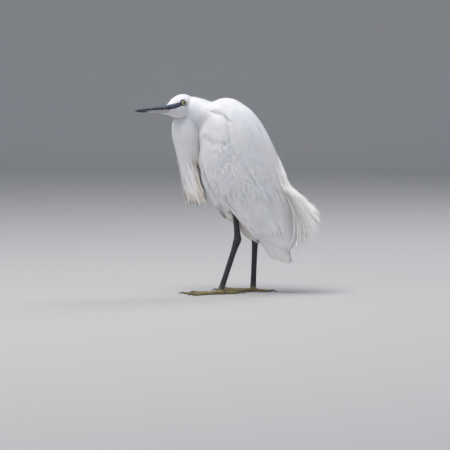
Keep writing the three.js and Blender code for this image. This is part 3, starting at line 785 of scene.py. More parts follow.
@dataclass
class Tufts:
    """Many vanes or strands of one make, gathered as arrays and joined into one mesh."""

    name: str
    finish: bpy.types.Material
    slot: Slot
    points: list[Array] = field(default_factory=list)
    faces: list[Array] = field(default_factory=list)
    patches: list[Array] = field(default_factory=list)
    vanes: list[Array] = field(default_factory=list)
    tints: list[Array] = field(default_factory=list)
    lean: list[Array] = field(default_factory=list)
    count: int = 0

    PATCH = 0.003

    def _add(self, points: Array, faces: Array, vane: Array, roots: Array, tints: Array, lean: Array) -> None:
        """Adds tufts that share one way of joining their points.

        Args:
            points: Points in millimetres, tufts by points by 3.
            faces: Triangles of one tuft.
            vane: Place across and along the vane of each point of one tuft.
            roots: Place of each root on the unwrapped skin, between 0 and 1.
            tints: Colour of each point or of each tuft.
            lean: Direction that each point is lit from.
        """
        tufts, each = points.shape[:2]
        shifts = self.count + np.arange(tufts)[:, None, None] * each
        self.points.append(metres(points).reshape(-1, 3))
        a, b, c = ((points - points[:, :1])[:, faces[:, i]] for i in range(3))
        inside_out = (np.cross(a, b) * c).sum((1, 2)) < 0
        numbers = faces[None] + shifts
        numbers[inside_out] = numbers[inside_out][..., ::-1]
        self.faces.append(numbers.reshape(-1, 3))
        self.vanes.append(np.broadcast_to(vane, (tufts, each, 2)).reshape(-1, 2))
        self.patches.append((roots[:, None, :] + (vane[None] - 0.5) * self.PATCH).reshape(-1, 2))
        shades = tints if tints.ndim == 3 else np.repeat(tints[:, None, :], each, axis=1)
        self.tints.append(np.clip(shades, 0, 0.92).reshape(-1, 3))
        self.lean.append(unit(lean).reshape(-1, 3))
        self.count += tufts * each

    def leaves(self, points: Array, roots: Array, tints: Array, lean: Array) -> None:
        """Adds closed leaf-shaped vanes.

        Args:
            points: Upper points in millimetres, tufts by rows by columns by 3; the last row's middle is the tip.
            roots: Place of each root on the unwrapped skin.
            tints: Colour of each vane, or of each row of each vane.
            lean: Direction that each point is lit from, so that the vanes blend into one soft coat.
        """
        tufts, rows, columns = points.shape[:3]
        rows -= 1

        def tipped(values: Array) -> Array:
            """Lays out the values of the points in one row, the tip's last."""
            return np.concatenate([values[:, :-1].reshape(tufts, -1, 3), values[:, -1:, columns // 2]], axis=1)

        grid = np.arange(rows * columns).reshape(rows, columns)
        tip = rows * columns
        faces = []
        for i in range(rows - 1):
            for j in range(columns - 1):
                a, b, c, d = grid[i, j], grid[i, j + 1], grid[i + 1, j + 1], grid[i + 1, j]
                faces += [(a, b, c), (a, c, d)]
            left, right, far_left, far_right = grid[i, 0], grid[i, -1], grid[i + 1, 0], grid[i + 1, -1]
            faces += [(left, far_left, far_right), (left, far_right, right)]
        faces += [(grid[-1, j], grid[-1, j + 1], tip) for j in range(columns - 1)]
        faces.append((grid[-1, 0], tip, grid[-1, -1]))
        faces += [(grid[0, 0], grid[0, j + 1], grid[0, j]) for j in range(1, columns - 1)]
        across, along = np.meshgrid(np.linspace(0, 1, columns), np.arange(rows) / rows)
        vane = np.vstack([np.stack([across, along], -1).reshape(-1, 2), [[0.5, 1.0]]])
        if tints.ndim == 3:
            tints = tipped(np.repeat(tints[:, :, None], columns, axis=2))
        self._add(tipped(points), np.array(faces), vane, roots, tints, tipped(lean))

    def strands(self, line: Array, radius: Array, roots: Array, tints: Array, lean: Array) -> None:
        """Adds three-sided tapering strands.

        Args:
            line: Points of each strand, tufts by rows by 3, whose last is the tip.
            radius: Radius at each row but the last.
            roots: Place of each root on the unwrapped skin.
            tints: Colour of each strand.
            lean: Direction that the strands are mostly lit from, or one for each.
        """
        tufts, rows = line.shape[:2]
        rows -= 1
        ahead = unit(np.gradient(line, axis=1))[:, :rows]
        side = unit(np.cross(ahead, np.array([0.31, 0.87, 0.38])))
        over = np.cross(ahead, side)
        turns = np.arange(3) * 2 * math.pi / 3
        rim = side[:, :, None] * np.cos(turns)[:, None] + over[:, :, None] * np.sin(turns)[:, None]
        ring = line[:, :rows, None] + rim * np.broadcast_to(radius, (tufts, rows))[..., None, None]
        grid = np.arange(rows * 3).reshape(rows, 3)
        faces = []
        for i in range(rows - 1):
            for j in range(3):
                k = (j + 1) % 3
                faces += [(grid[i, j], grid[i, k], grid[i + 1, k]), (grid[i, j], grid[i + 1, k], grid[i + 1, j])]
        faces += [(grid[-1, j], grid[-1, (j + 1) % 3], rows * 3) for j in range(3)]
        faces.append((0, 2, 1))
        along = np.repeat(np.arange(rows) / rows, 3)
        vane = np.vstack([np.stack([np.tile([0.3, 0.5, 0.7], rows), along], -1), [[0.5, 1.0]]])
        points = np.concatenate([ring.reshape(tufts, -1, 3), line[:, rows:]], axis=1)
        lean = np.broadcast_to(lean, (tufts, 3))[:, None]
        lit = np.concatenate([(rim * 0.5 + lean[:, None]).reshape(tufts, -1, 3), lean], axis=1)
        self._add(points, np.array(faces), vane, roots, tints, lit)

    def build(self, nodes: Sequence[str] = ()) -> bpy.types.Object:
        """Joins everything into one piece with its two UV maps and its tint.

        Args:
            nodes: Solids that the piece stands for.

        Returns:
            The finished piece.
        """
        points, faces = np.concatenate(self.points), np.concatenate(self.faces)
        mesh = bpy.data.meshes.new(self.name)
        mesh.vertices.add(len(points))
        mesh.vertices.foreach_set("co", points.ravel())
        mesh.loops.add(faces.size)
        mesh.loops.foreach_set("vertex_index", faces.ravel())
        mesh.polygons.add(len(faces))
        mesh.polygons.foreach_set("loop_start", np.arange(0, faces.size, 3))
        mesh.polygons.foreach_set("use_smooth", np.ones(len(faces), bool))
        mesh.update(calc_edges=True)
        for name, values in (("OFBake", self.patches), ("Vane", self.vanes)):
            layer = mesh.uv_layers.new(name=name)
            layer.uv.foreach_set("vector", np.concatenate(values)[faces.ravel()].ravel())
        set_point_colour(mesh, "tint", np.concatenate(self.tints))
        a, b, c = (points[faces[:, i]] for i in range(3))
        out = unit(np.cross(b - a, c - a) * 1e6)[:, None]
        lean = np.concatenate(self.lean)[faces]
        away = np.minimum((lean * out).sum(-1, keepdims=True), 0)
        mesh.normals_split_custom_set((lean - 2 * away * out).reshape(-1, 3).tolist())
        return link_piece(self.name, mesh, self.finish, self.slot, nodes)


# The body under the feathers

# Where the coat is known, on the head: place, flow, feather length, feather width, coat depth.
HEAD_GUIDES = (
    ((25, 0, 5), (-1, 0, 0.5), 2.8, 1.1, 0.5), ((14, 0, 12), (-1, 0, 0.3), 3.8, 1.4, 0.9),
    ((0, 0, 19), (-1, 0, 0), 6, 1.8, 1.5), ((-20, 0, 18), (-1, 0, -0.4), 8.5, 2.2, 2),
    ((-32, 0, 0), (-0.6, 0, -1), 11, 2.6, 2.4), ((20, 7, 5.5), (-1, 0.2, 0.15), 2.6, 1, 0.5),
    ((12, 10, 9), (-1, 0.3, 0.1), 3, 1.2, 0.7), ((3, 15, 11), (-1, 0.1, 0), 3.2, 1.3, 0.8),
    ((-4, 16, 5), (-1, 0.1, -0.1), 3.2, 1.3, 0.8), ((3, 16, -2), (-1, 0.1, -0.25), 3.4, 1.3, 0.8),
    ((12, 12, -5), (-1, 0.3, -0.15), 3.2, 1.2, 0.7), ((0, 17, -9), (-1, 0, -0.3), 4.8, 1.7, 1.3),
    ((-12, 18, 3), (-1, 0, -0.25), 6, 2, 1.6), ((-24, 14, -4), (-0.9, 0, -0.6), 8, 2.3, 2),
    ((40, 2, -10), (-1, 0, 0.02), 4, 1, 0.5), ((28, 3, -13), (-1, 0, -0.1), 4.2, 1.2, 0.7),
    ((14, 5, -17), (-1, 0, -0.2), 4.6, 1.5, 1.1), ((0, 6, -20), (-1, 0, -0.35), 6.5, 1.9, 1.6),
    ((-14, 8, -19), (-0.8, 0, -0.8), 8.5, 2.2, 2),
)
# The same on the neck, in the bird's own directions.
NECK_GUIDES = (
    ((-82, 0, 330), (1, 0, -0.1), 10, 2.6, 2.6), ((-58, 0, 331), (1, 0, -0.3), 13, 3.2, 3.4),
    ((-36, 12, 322), (1, 0.1, -0.6), 16, 4, 4), ((-68, 24, 306), (0.8, 0.1, -0.7), 12, 3, 3),
    ((-50, 28, 288), (0.7, 0.1, -0.8), 14, 3.6, 3.6), ((-84, 22, 292), (0.35, 0.05, -1), 11, 2.6, 2.8),
    ((-97, 9, 300), (-0.8, 0.3, -0.7), 8, 2, 2), ((-88, 17, 298), (-0.3, 0.6, -0.8), 9, 2.2, 2.2),
    ((-106, 0, 296), (-0.2, 0, -1), 9, 2.2, 2.2), ((-107, 0, 270), (0.02, 0, -1), 13, 2.3, 2.6),
    ((-100, 0, 240), (0.1, 0, -1), 16, 2.4, 2.8), ((-92, 0, 206), (0.12, 0, -1), 17, 2.4, 3),
    ((-84, 0, 180), (0.2, 0, -1), 14, 2.2, 3), ((-82, 23, 272), (0.12, 0, -1), 13, 2.6, 2.8),
    ((-78, 18, 232), (0.14, 0, -1), 16, 2.6, 2.8), ((-74, 12, 186), (0.2, 0, -1), 14, 2.4, 3),
    ((-60, 16, 270), (0.3, 0, -1), 15, 3.2, 3), ((-60, 14, 220), (0.25, 0, -1), 19, 3.2, 3),
)
# On the body: along the axis, angle from the back in degrees, feather length, feather width, coat depth.
BODY_GUIDES = (
    (-24, 0, 14, 4, 4), (6, 0, 19, 5, 5), (50, 0, 25, 6, 5.5), (110, 0, 28, 7, 5.5), (170, 0, 27, 6, 5),
    (8, 45, 17, 5, 5), (8, 90, 14, 4.4, 4.5), (34, 95, 15, 5.4, 4.5), (40, 60, 18, 5.6, 5),
    (0, 135, 16, 4.4, 4.5), (0, 180, 18, 4.2, 4.5), (40, 160, 19, 5, 5), (60, 180, 21, 5, 5.5),
    (110, 160, 22, 5, 5.5), (130, 180, 23, 5, 5.5), (175, 160, 21, 5, 5), (185, 180, 19, 5, 5),
    (208, 180, 12, 4, 4), (205, 100, 22, 4, 4), (120, 45, 26, 7, 5.5), (180, 60, 26, 6, 5),
)


class Side(Enum):
    """The bird's own sides; the value points to its left."""

    LEFT = 1
    RIGHT = -1

    @property
    def word(self) -> str:
        """Gives the word that the solids' names end in."""
        return self.name.lower()


def path_at(points: Array, share: Array) -> Array:
    """Follows a smooth line through points, by the share of its length.

    Args:
        points: The points of the line.
        share: Shares from end to end.

    Returns:
        The places.
    """
    steps = np.linalg.norm(np.diff(points, axis=0), axis=1)
    place = np.concatenate([[0], np.cumsum(steps)]) / steps.sum()
    return table_at(np.column_stack([place, points]), share)


def limb(
    points: Array, radius: Place, flat: float, around: int, along: int, floor: bool = False
) -> bmesh.types.BMesh:
    """Shapes a closed limb round a line.

    Args:
        points: Points of the line in millimetres.
        radius: Gives the radius from the angle round the limb and the share along it.
        flat: Width over depth.
        around: Faces round it.
        along: Faces along it.
        floor: Keeps it above the floor.

    Returns:
        A bmesh in metres.
    """
    line = np.asarray(points, float)

    def place(angle: Array, share: Array) -> Array:
        """Places one point of the limb.

        Args:
            angle: Angles round it in radians.
            share: Shares from end to end.

        Returns:
            Places in millimetres.
        """
        centre = path_at(line, share)
        ahead = unit(path_at(line, np.minimum(share + 0.02, 1)) - path_at(line, np.maximum(share - 0.02, 0)))
        across = np.array([0.0, 1.0, 0.0]) - ahead * ahead[:, 1:2]
        level = np.array([1.0, 0.0, 0.0]) - ahead * ahead[:, 0:1]
        side = unit(np.where(np.linalg.norm(across, axis=1, keepdims=True) < 0.2, level, across))
        front = np.cross(side, ahead)
        inside = (share > END) & (share < 1 - END)
        size = (radius(angle, share) * inside)[:, None]
        made = centre + side * size * flat * np.cos(angle)[:, None] + front * size * np.sin(angle)[:, None]
        if floor:
            made[:, 2] = np.maximum(made[:, 2], 0)
        return made

    return wrapped(around, along, place)


@dataclass
class LegPlan:
    """Where each leg stands, as in the solids."""

    side: Side
    tarsus_length: float = 92.0

    @property
    def foot(self) -> Array:
        """Gives the foot's centre."""
        return np.array([-22.0, -24.0, 6.0]) if self.side is Side.LEFT else np.array([29.0, 26.0, 6.0])

    @property
    def ankle(self) -> Array:
        """Gives the ankle over the foot.

        Returns:
            The place in millimetres.
        """
        x, y = (6.0, -16.0) if self.side is Side.LEFT else (33.5, 13.5)
        foot = self.foot
        rise = math.sqrt(self.tarsus_length**2 - (x - foot[0]) ** 2 - (y - foot[1]) ** 2)
        return np.array([x, y, foot[2] + rise])

    @property
    def knee(self) -> Array:
        """Gives the knee, which the belly feathers hide."""
        return np.array([-1.0, -14.0, 168.0]) if self.side is Side.LEFT else np.array([13.0, 11.5, 160.0])

    @property
    def heading(self) -> float:
        """Gives the turn of the middle toe from straight ahead."""
        return math.radians(8 if self.side is Side.LEFT else -4)

    @property
    def thigh_end(self) -> float:
        """Gives the share of the shin that is feathered."""
        return 0.42 if self.side is Side.LEFT else 0.6

    @property
    def bare_from(self) -> float:
        """Gives the share of the shin from which it shows between the feathers."""
        return 0.24 if self.side is Side.LEFT else 0.6

    def along(self, share: float) -> Array:
        """Gives a point between the knee and the ankle."""
        return self.knee + (self.ankle - self.knee) * share


class Guides:
    """The coat's flow, lengths, widths and depth, blended between chosen places."""

    def __init__(self) -> None:
        """Gathers all guides in the bird's millimetres."""
        rows = []
        for place, flow, *sizes in HEAD_GUIDES:
            for side in (1, -1) if place[1] else (1,):
                turned = np.array(place) * (1, side, 1)
                rows.append([*HeadFrame.to_bird(turned), *(np.array(flow) * (1, side, 1)) @ HeadFrame.axes(), *sizes])
        for place, flow, *sizes in NECK_GUIDES:
            for side in (1, -1) if place[1] else (1,):
                rows.append([*(np.array(place) * (1, side, 1)), *(np.array(flow) * (1, side, 1)), *sizes])
        for along, degrees, *sizes in BODY_GUIDES:
            for side in (1, -1) if degrees % 180 else (1,):
                angle = math.radians(side * degrees)
                here = BodyAxis.surface(TORSO, along, angle)
                behind, ahead = (BodyAxis.bare(TORSO, np.array(along + step), angle) for step in (-4.0, 4.0))
                rows.append([*here, *unit(ahead - behind), *sizes])
        for side in Side:
            leg = LegPlan(side)
            down = unit(leg.ankle - leg.knee)
            for share, out in ((0.12, 8), (0.35, 8), (leg.thigh_end, 5)):
                for turn in (0, 90, 180, 270):
                    ring = np.array([math.cos(math.radians(turn)), math.sin(math.radians(turn)), 0]) * out
                    size = (12, 3, 2.4) if share < 0.3 else (6, 2, 1.4)
                    rows.append([*(leg.along(share) + ring), *down, *size])
        table = np.array(rows, float)
        self.places, self.flows, self.sizes = table[:, :3], unit(table[:, 3:6]), table[:, 6:]

    def at(self, points: Array) -> tuple[Array, Array, Array, Array]:
        """Reads the coat at points in millimetres.

        Args:
            points: Points by 3.

        Returns:
            Flow, length, width and depth at each point.
        """
        flows, sizes = np.empty((len(points), 3)), np.empty((len(points), 3))
        for start in range(0, len(points), 8000):
            part = slice(start, start + 8000)
            gap = ((points[part, None] - self.places[None]) ** 2).sum(-1)
            weight = 1 / (gap + 12) ** 2
            weight /= weight.sum(1, keepdims=True)
            flows[part] = weight @ self.flows
            sizes[part] = weight @ self.sizes
        return flows, sizes[:, 0], sizes[:, 1], sizes[:, 2]


class Markings:
    """Colours of skin and coat, read from places so that both carry the same."""

    white: Array = np.array([0.87, 0.868, 0.862])
    cream: Array = np.array([0.85, 0.79, 0.7])
    ivory: Array = np.array([0.88, 0.81, 0.7])
    blush: Array = np.array([0.84, 0.77, 0.74])
    lilac_tone_and_shade: Array = np.array([0.74, 0.745, 0.81])
    stain_and_cleft_shade: Array = np.array([0.6, 0.48, 0.33])
    tan: Array = np.array([0.74, 0.6, 0.42])
    lore: Array = np.array([0.05, 0.065, 0.115])

    @classmethod
    def at(cls, points: Array) -> Array:
        """Gives the feather colour at points in millimetres.

        Args:
            points: Points in millimetres.

        Returns:
            A colour for each point.
        """
        colour = np.repeat(cls.white[None], len(points), axis=0)

        def blend(share: Array, other: Array) -> None:
            """Lays another colour over the one so far."""
            nonlocal colour
            colour = laid_over(colour, other, share)

        x, y, z = points.T
        head = HeadFrame.from_bird(points)
        uneven = ripple(points, 30, 5)
        blend(np.clip(0.2 + 0.2 * uneven, 0, 0.5), cls.lilac_tone_and_shade)
        # Painted shade: the cheeks below and behind the eye are laid over with lilac.
        cheek = smooth_step(14, 4, np.hypot(head[:, 0] + 6, head[:, 2] + 9)) * smooth_step(8, 14, np.abs(head[:, 1]))
        blend(0.45 * cheek, cls.lilac_tone_and_shade)
        chin = smooth_step(12, 4, np.hypot(head[:, 0] - 22, head[:, 2] + 10))
        blend(0.35 * chin, cls.blush)
        breast = smooth_step(215, 165, z) * smooth_step(-50, -70, x)
        blend(np.clip((0.45 + 0.2 * uneven) * breast, 0, 1), cls.blush)
        along, angle = BodyAxis.coordinates(points)
        vent = smooth_step(175, 140, z) * smooth_step(-40, 0, x) * smooth_step(2.2, 2.5, np.abs(angle))
        blend(np.clip((0.75 + 0.25 * uneven) * vent, 0, 1), cls.cream)
        streak = smooth_step(55, 80, along) * smooth_step(200, 160, along) * smooth_step(0.95, 0.6, np.abs(angle))
        blend(np.clip((0.32 + 0.3 * ripple(points * (1, 1, 0.4), 9, 8)) * streak, 0, 0.7), cls.cream)
        off = points - BodyAxis.surface(WING_BED, 197, math.radians(99))
        spot = np.hypot((off @ BodyAxis.tailward) * 0.5, np.linalg.norm(np.cross(off, BodyAxis.tailward), axis=1))
        blend(0.7 * smooth_step(5, 1.5, spot + uneven), cls.stain_and_cleft_shade)
        # Painted shade: brown laid into the cleft between the neck's fold and the body.
        across = np.abs(np.abs(y) - 15)
        cleft = smooth_step(11, 3, np.hypot(x + 66, 0.7 * across))
        blend(0.75 * cleft * smooth_step(252, 232, z) * smooth_step(168, 186, z), cls.stain_and_cleft_shade)
        # Painted shade: a darker lilac line along the crease where the head meets the neck.
        jaw = smooth_step(7, 1.5, np.abs(z - 296)) * smooth_step(-52, -64, x) * smooth_step(4, 10, np.abs(y))
        blend(0.4 * jaw, cls.lilac_tone_and_shade * 0.8)
        tips = smooth_step(242, 270, along) * smooth_step(150, 110, z)
        blend(np.clip((0.4 + 0.4 * ripple(points, 12, 9)) * tips, 0, 0.7), cls.tan)
        return colour


class Region(Enum):
    """Parts of the skin, each with its own patch of the unwrap: left, bottom, right, top."""

    TORSO = (0.02, 0.02, 0.5, 0.98)
    NAPE = (0.52, 0.76, 0.98, 0.98)
    FOLD = (0.52, 0.52, 0.73, 0.74)
    HEAD = (0.75, 0.52, 0.98, 0.74)
    THIGH_LEFT = (0.52, 0.27, 0.73, 0.5)
    THIGH_RIGHT = (0.75, 0.27, 0.98, 0.5)
    WING_LEFT = (0.52, 0.02, 0.73, 0.25)
    WING_RIGHT = (0.75, 0.02, 0.98, 0.25)

    def spot(self, u: Array, v: Array) -> Array:
        """Gives places on the unwrapped skin.

        Args:
            u: Shares of the patch from its left.
            v: Shares of the patch from its bottom.

        Returns:
            Places between 0 and 1.
        """
        left, bottom, right, top = self.value
        return np.stack(np.broadcast_arrays(left + (right - left) * u, bottom + (top - bottom) * v), -1)


@dataclass
class Skin:
    """One closed skin under all the feathers of body, neck, head and thighs."""

    guides: Guides
    voxel: float = 1.5
    smoothing: int = 7
    points: Array = field(default_factory=lambda: np.empty((0, 3)))
    normals: Array = field(default_factory=lambda: np.empty((0, 3)))
    regions: list[tuple[Region, Array]] = field(default_factory=list)

    def torso(self, angle: Array, share: Array) -> Array:
        """Places the torso."""
        along = TORSO[0][0] + (TORSO[-1][0] - TORSO[0][0]) * (1 - np.cos(math.pi * share)) / 2
        return BodyAxis.bare(TORSO, along, angle)

    def nape(self, angle: Array, share: Array) -> Array:
        """Places the nape.

        Args:
            angle: Angles round it in radians.
            share: Shares from end to end.

        Returns:
            An array, a row for each point.
        """
        x = NAPE[0][0] + (NAPE[-1][0] - NAPE[0][0]) * share
        top, bottom, half = np.moveaxis(table_at(NAPE, x), -1, 0)
        return np.stack([x, half * np.sin(angle), (top + bottom) / 2 + (top - bottom) / 2 * np.cos(angle)], -1)

    def fold(self, angle: Array, share: Array) -> Array:
        """Places the hanging fold of the neck.

        Args:
            angle: Angles round it in radians.
            share: Shares from end to end.

        Returns:
            An array, a row for each point.
        """
        z = NECK_FOLD[0][0] + (NECK_FOLD[-1][0] - NECK_FOLD[0][0]) * share
        front, rear, half = np.moveaxis(table_at(NECK_FOLD, z), -1, 0)
        raised = z + 12 * (1 - share) ** 10
        return np.stack([(front + rear) / 2 + (rear - front) / 2 * np.cos(angle), half * np.sin(angle), raised], -1)

    def head(self, angle: Array, share: Array) -> Array:
        """Places the head."""
        x = HEAD[0][0] + (HEAD[-1][0] - HEAD[0][0]) * (1 - np.cos(math.pi * share)) / 2
        return HeadFrame.to_bird(head_point(x, angle))

    def chin(self, angle: Array, share: Array) -> Array:
        """Places the chin under the bill.

        Args:
            angle: Angles round it in radians.
            share: Shares from end to end.

        Returns:
            An array, a row for each point.
        """
        x = CHIN[0][0] + (CHIN[-1][0] - CHIN[0][0]) * share
        top, bottom, half = np.moveaxis(table_at(CHIN, x), -1, 0)
        up = (top + bottom) / 2 + (top - bottom) / 2 * np.cos(angle)
        return HeadFrame.to_bird(np.stack([x, half * np.sin(angle) * (share > END), up], -1))

    def orbit(self, side: Side) -> Place:
        """Gives the rounded skin that holds one eyeball.

        Args:
            side: Which side.

        Returns:
            A function from angle and share to a place.
        """

        def place(angle: Array, share: Array) -> Array:
            """Places one point of it.

            Args:
                angle: Angles round it in radians.
                share: Shares from end to end.

            Returns:
                Places in millimetres.
            """
            ring = np.sin(math.pi * share)
            ball = np.stack([ring * np.cos(angle), ring * np.sin(angle), -np.cos(math.pi * share)], -1)
            return HeadFrame.to_bird(ball * 7.1 + EYE_PLACE * (1, side.value, 1))

        return place

    def open_eyes(self, form: bmesh.types.BMesh) -> None:
        """Sinks the skin behind each eyeball inside its opening.

        Args:
            form: The form, in metres.
        """
        places = HeadFrame.from_bird(millimetres(form_points(form)))
        for side in Side:
            off = places - EYE_PLACE * (1, side.value, 1)
            far = np.linalg.norm(off, axis=1)
            look = unit(np.array(EYE_OPENING) * (1, side.value, 1))
            turn = np.degrees(np.arccos(np.clip((off @ look) / np.maximum(far, 1e-6), -1, 1)))
            sink = smooth_step(47, 41, turn) * (far > 3) * (far < 12)
            target = off / far[:, None] * (far * (1 - sink) + 5.0 * sink)[:, None] + EYE_PLACE * (1, side.value, 1)
            places = np.where(sink[:, None] > 0, target, places)
        move_points(form, metres(HeadFrame.to_bird(places)))

    def part_belly(self, form: bmesh.types.BMesh) -> None:
        """Sinks the belly and thigh behind the left shin where it comes out under the wing.

        Args:
            form: The form, in metres.
        """
        places = millimetres(form_points(form))
        leg = LegPlan(Side.LEFT)
        start, way = leg.along(0.14), leg.ankle - leg.along(0.14)
        t = np.clip(((places - start)[:, ::2] @ way[::2]) / (way[::2] @ way[::2]), 0, 1)
        off = places - start - t[:, None] * way
        sink = smooth_step(13, 7.5, np.hypot(off[:, 0], off[:, 2]))
        places[:, 1] += np.maximum(1.0 - off[:, 1], 0) * sink
        move_points(form, metres(places))

    def wing_bed(self, side: Side) -> Place:
        """Gives the form that fills the room under one folded wing.

        Args:
            side: Which side.

        Returns:
            A function from angle and share to a place.
        """

        def place(angle: Array, share: Array) -> Array:
            """Places one point of it.

            Args:
                angle: Angles round it in radians.
                share: Shares from end to end.

            Returns:
                Places in millimetres.
            """
            along = 16 + 164 * (1 - np.cos(math.pi * share)) / 2
            ventral, dorsal = value_at(VENTRAL_EDGE, along) - 3, value_at(DORSAL_EDGE, along) + 3
            across = (ventral + dorsal) / 2 + (ventral - dorsal) / 2 * np.cos(angle)
            top = value_at(((14, -5), (36, -5), (85, -7.4), (180, -7.4)), along)
            low = value_at(((14, -10), (130, -14), (180, -26)), along)
            lift = (top + low) / 2 + (top - low) / 2 * np.sign(np.sin(angle)) * np.abs(np.sin(angle)) ** 0.4
            return BodyAxis.surface(WING_BED, along, side.value * np.radians(across), lift)

        return place

    def thigh(self, side: Side) -> bmesh.types.BMesh:
        """Shapes one feathered thigh.

        Args:
            side: Which side.

        Returns:
            The form, in metres.
        """
        leg = LegPlan(side)
        line = [leg.knee, leg.along(leg.thigh_end / 2), leg.along(leg.thigh_end)]
        sizes = ((0, 6), (0.2, 11), (0.5, 10.5), (0.8, 8), (1, 6.4))
        return limb(line, lambda angle, share: value_at(sizes, share), 0.75, 24, 24)

    def forms(self) -> list[tuple[Region, bmesh.types.BMesh, bool]]:
        """Shapes every form, with whether it is let in by the coat's depth.

        Returns:
            Each region with its form and whether the coat's depth is taken off it.
        """
        made = [
            (Region.TORSO, wrapped(96, 96, self.torso), True),
            (Region.NAPE, wrapped(48, 32, self.nape), True),
            (Region.FOLD, wrapped(48, 48, self.fold), True),
            (Region.HEAD, wrapped(56, 48, self.head), True),
            (Region.HEAD, wrapped(24, 32, self.chin), True),
            (Region.HEAD, wrapped(32, 24, self.orbit(Side.LEFT)), False),
            (Region.HEAD, wrapped(32, 24, self.orbit(Side.RIGHT)), False),
            (Region.THIGH_LEFT, self.thigh(Side.LEFT), True),
            (Region.THIGH_RIGHT, self.thigh(Side.RIGHT), True),
            (Region.WING_LEFT, wrapped(48, 48, self.wing_bed(Side.LEFT)), False),
            (Region.WING_RIGHT, wrapped(48, 48, self.wing_bed(Side.RIGHT)), False),
        ]
        for region, form, let_in in made:
            form.normal_update()
            places = millimetres(form_points(form))
            self.regions.append((region, places))
            if let_in:
                depths = self.guides.at(places)[3] * MM
                for vertex, depth in zip(form.verts, depths):
                    vertex.co -= vertex.normal * float(depth)
        return made

    def build(self, finish: bpy.types.Material) -> bpy.types.Object:
        """Joins the forms into one skin without seams.

        Args:
            finish: Its material.

        Returns:
            The piece.
        """
        joined = to_mesh("skin_forms", *(form for _, form, _ in self.forms()))
        source = bpy.data.objects.new("skin_forms", joined)
        bpy.context.scene.collection.objects.link(source)
        remesh = source.modifiers.new("remesh", "REMESH")
        remesh.mode, remesh.voxel_size, remesh.adaptivity = "VOXEL", self.voxel * MM, 0.0
        shaped = source.evaluated_get(bpy.context.evaluated_depsgraph_get())
        form = bmesh.new()
        form.from_mesh(shaped.to_mesh())
        bpy.data.objects.remove(source)
        for _ in range(self.smoothing):
            bmesh.ops.smooth_vert(
                form, verts=form.verts, factor=0.5, use_axis_x=True, use_axis_y=True, use_axis_z=True
            )
        self.open_eyes(form)
        self.part_belly(form)
        mesh = to_mesh("skin", smoothed(form))
        self.points = mesh_points(mesh)
        normals = np.empty(len(mesh.vertices) * 3)
        mesh.vertex_normals.foreach_get("vector", normals)
        self.normals = normals.reshape(-1, 3)
        places = millimetres(self.points)
        colours = Markings.at(places)
        bare = bare_face(HeadFrame.from_bird(places))[:, None]
        set_point_colour(mesh, "tint", colours * 0.93 * (1 - bare) + Markings.lore * bare)
        thighs = [f"thigh_{side.word}" for side in Side]
        return link_piece("skin", mesh, finish, Slot.PLUMAGE, ["torso", "head", "neck_upper", *thighs])


def head_point(x: Array, angle: Array) -> Array:
    """Gives points of the head's surface in its own directions.

    Args:
        x: Distances along the head in millimetres.
        angle: Angles round it in radians.

    Returns:
        Places in millimetres.
    """
    top, bottom, half = np.moveaxis(table_at(HEAD, x), -1, 0)
    cheek = 1 + 0.06 * np.maximum(0, -np.cos(angle))
    return np.stack([x, half * cheek * np.sin(angle), (top + bottom) / 2 + (top - bottom) / 2 * np.cos(angle)], -1)


def head_wall(x: Array, z: Array, side: Array) -> Array:
    """Gives points of the head's surface by how far forward and how high they are.

    Args:
        x: Distances along the head in millimetres.
        z: Heights in millimetres.
        side: Which side.

    Returns:
        Places in millimetres.
    """
    top, bottom, _ = np.moveaxis(table_at(HEAD, x), -1, 0)
    cosine = np.clip((z - (top + bottom) / 2) / ((top - bottom) / 2), -1, 1)
    return head_point(x, np.arccos(cosine) * side)


# The feathered chin that reaches forward under the lower half of the bill: forwards, top, bottom, half width.
CHIN = (
    (12, -8, -17, 7), (22, -8, -15, 6), (31, -7.8, -13, 4.6), (40, -7.6, -11.2, 3.2),
    (47, -7.8, -9.9, 1.8), (50, -8.6, -8.61, 0),
)
EYE_PLACE = np.array([2.5, 10.4, 5.2])
EYE_OPENING = (0.34, 1.0, 0.05)
# Middle of the bare ring round the eye: forwards, up.
EYE_MIDDLE = (3.7, 5.5)
LORE_LOW = ((6, 1.6), (12, -0.9), (20, -3.6), (29, -4.4))
LORE_HIGH = ((6, 7.6), (12, 6.9), (20, 5), (29, 3.4))


def bare_face(places: Array) -> Array:
    """Gives 1 on the bare skin between bill and eye and round the eye, and 0 on feathers.

    Args:
        places: Points in the head's own directions, in millimetres.

    Returns:
        A share for each point.
    """
    x, y, z = places.T
    low, high = value_at(LORE_LOW, x), value_at(LORE_HIGH, x)
    wedge = smooth_step(0, 0.5, z - low) * smooth_step(0, 0.5, high - z)
    wedge = wedge * smooth_step(5, 6, x) * smooth_step(31, 29, x)
    ring = smooth_step(6.1, 5.5, np.hypot(x - EYE_MIDDLE[0], z - EYE_MIDDLE[1]))
    return np.maximum(wedge, ring) * (np.abs(y) > 2.5)


# The coat

# Folds on each side: places as distance along the axis and angle, then hollow width, hollow depth and lip height.
FOLDS = (
    (((-13, 104), (-6, 88), (0, 81), (6, 78)), 4.6, 2.0, 0.5),
    (((6, 78), (24, 83), (39, 84), (58, 82), (72, 80), (104, 74), (140, 66)), 2.6, 1.5, 0.7),
    (((66, 84), (74, 97), (84, 110)), 1.9, 1.1, 0.5),
    (((48, 92), (50, 105), (56, 118)), 1.9, 0.9, 0.4),
    (((88, 92), (98, 104), (112, 116)), 1.9, 0.7, 0.3),
    (((22, 130), (31, 117), (38, 103)), 4.0, 1.6, 0.7),
    (((48, 160), (58, 150), (72, 145), (104, 139), (143, 137), (186, 135), (230, 133)), 2.2, 2.4, 0.6),
)
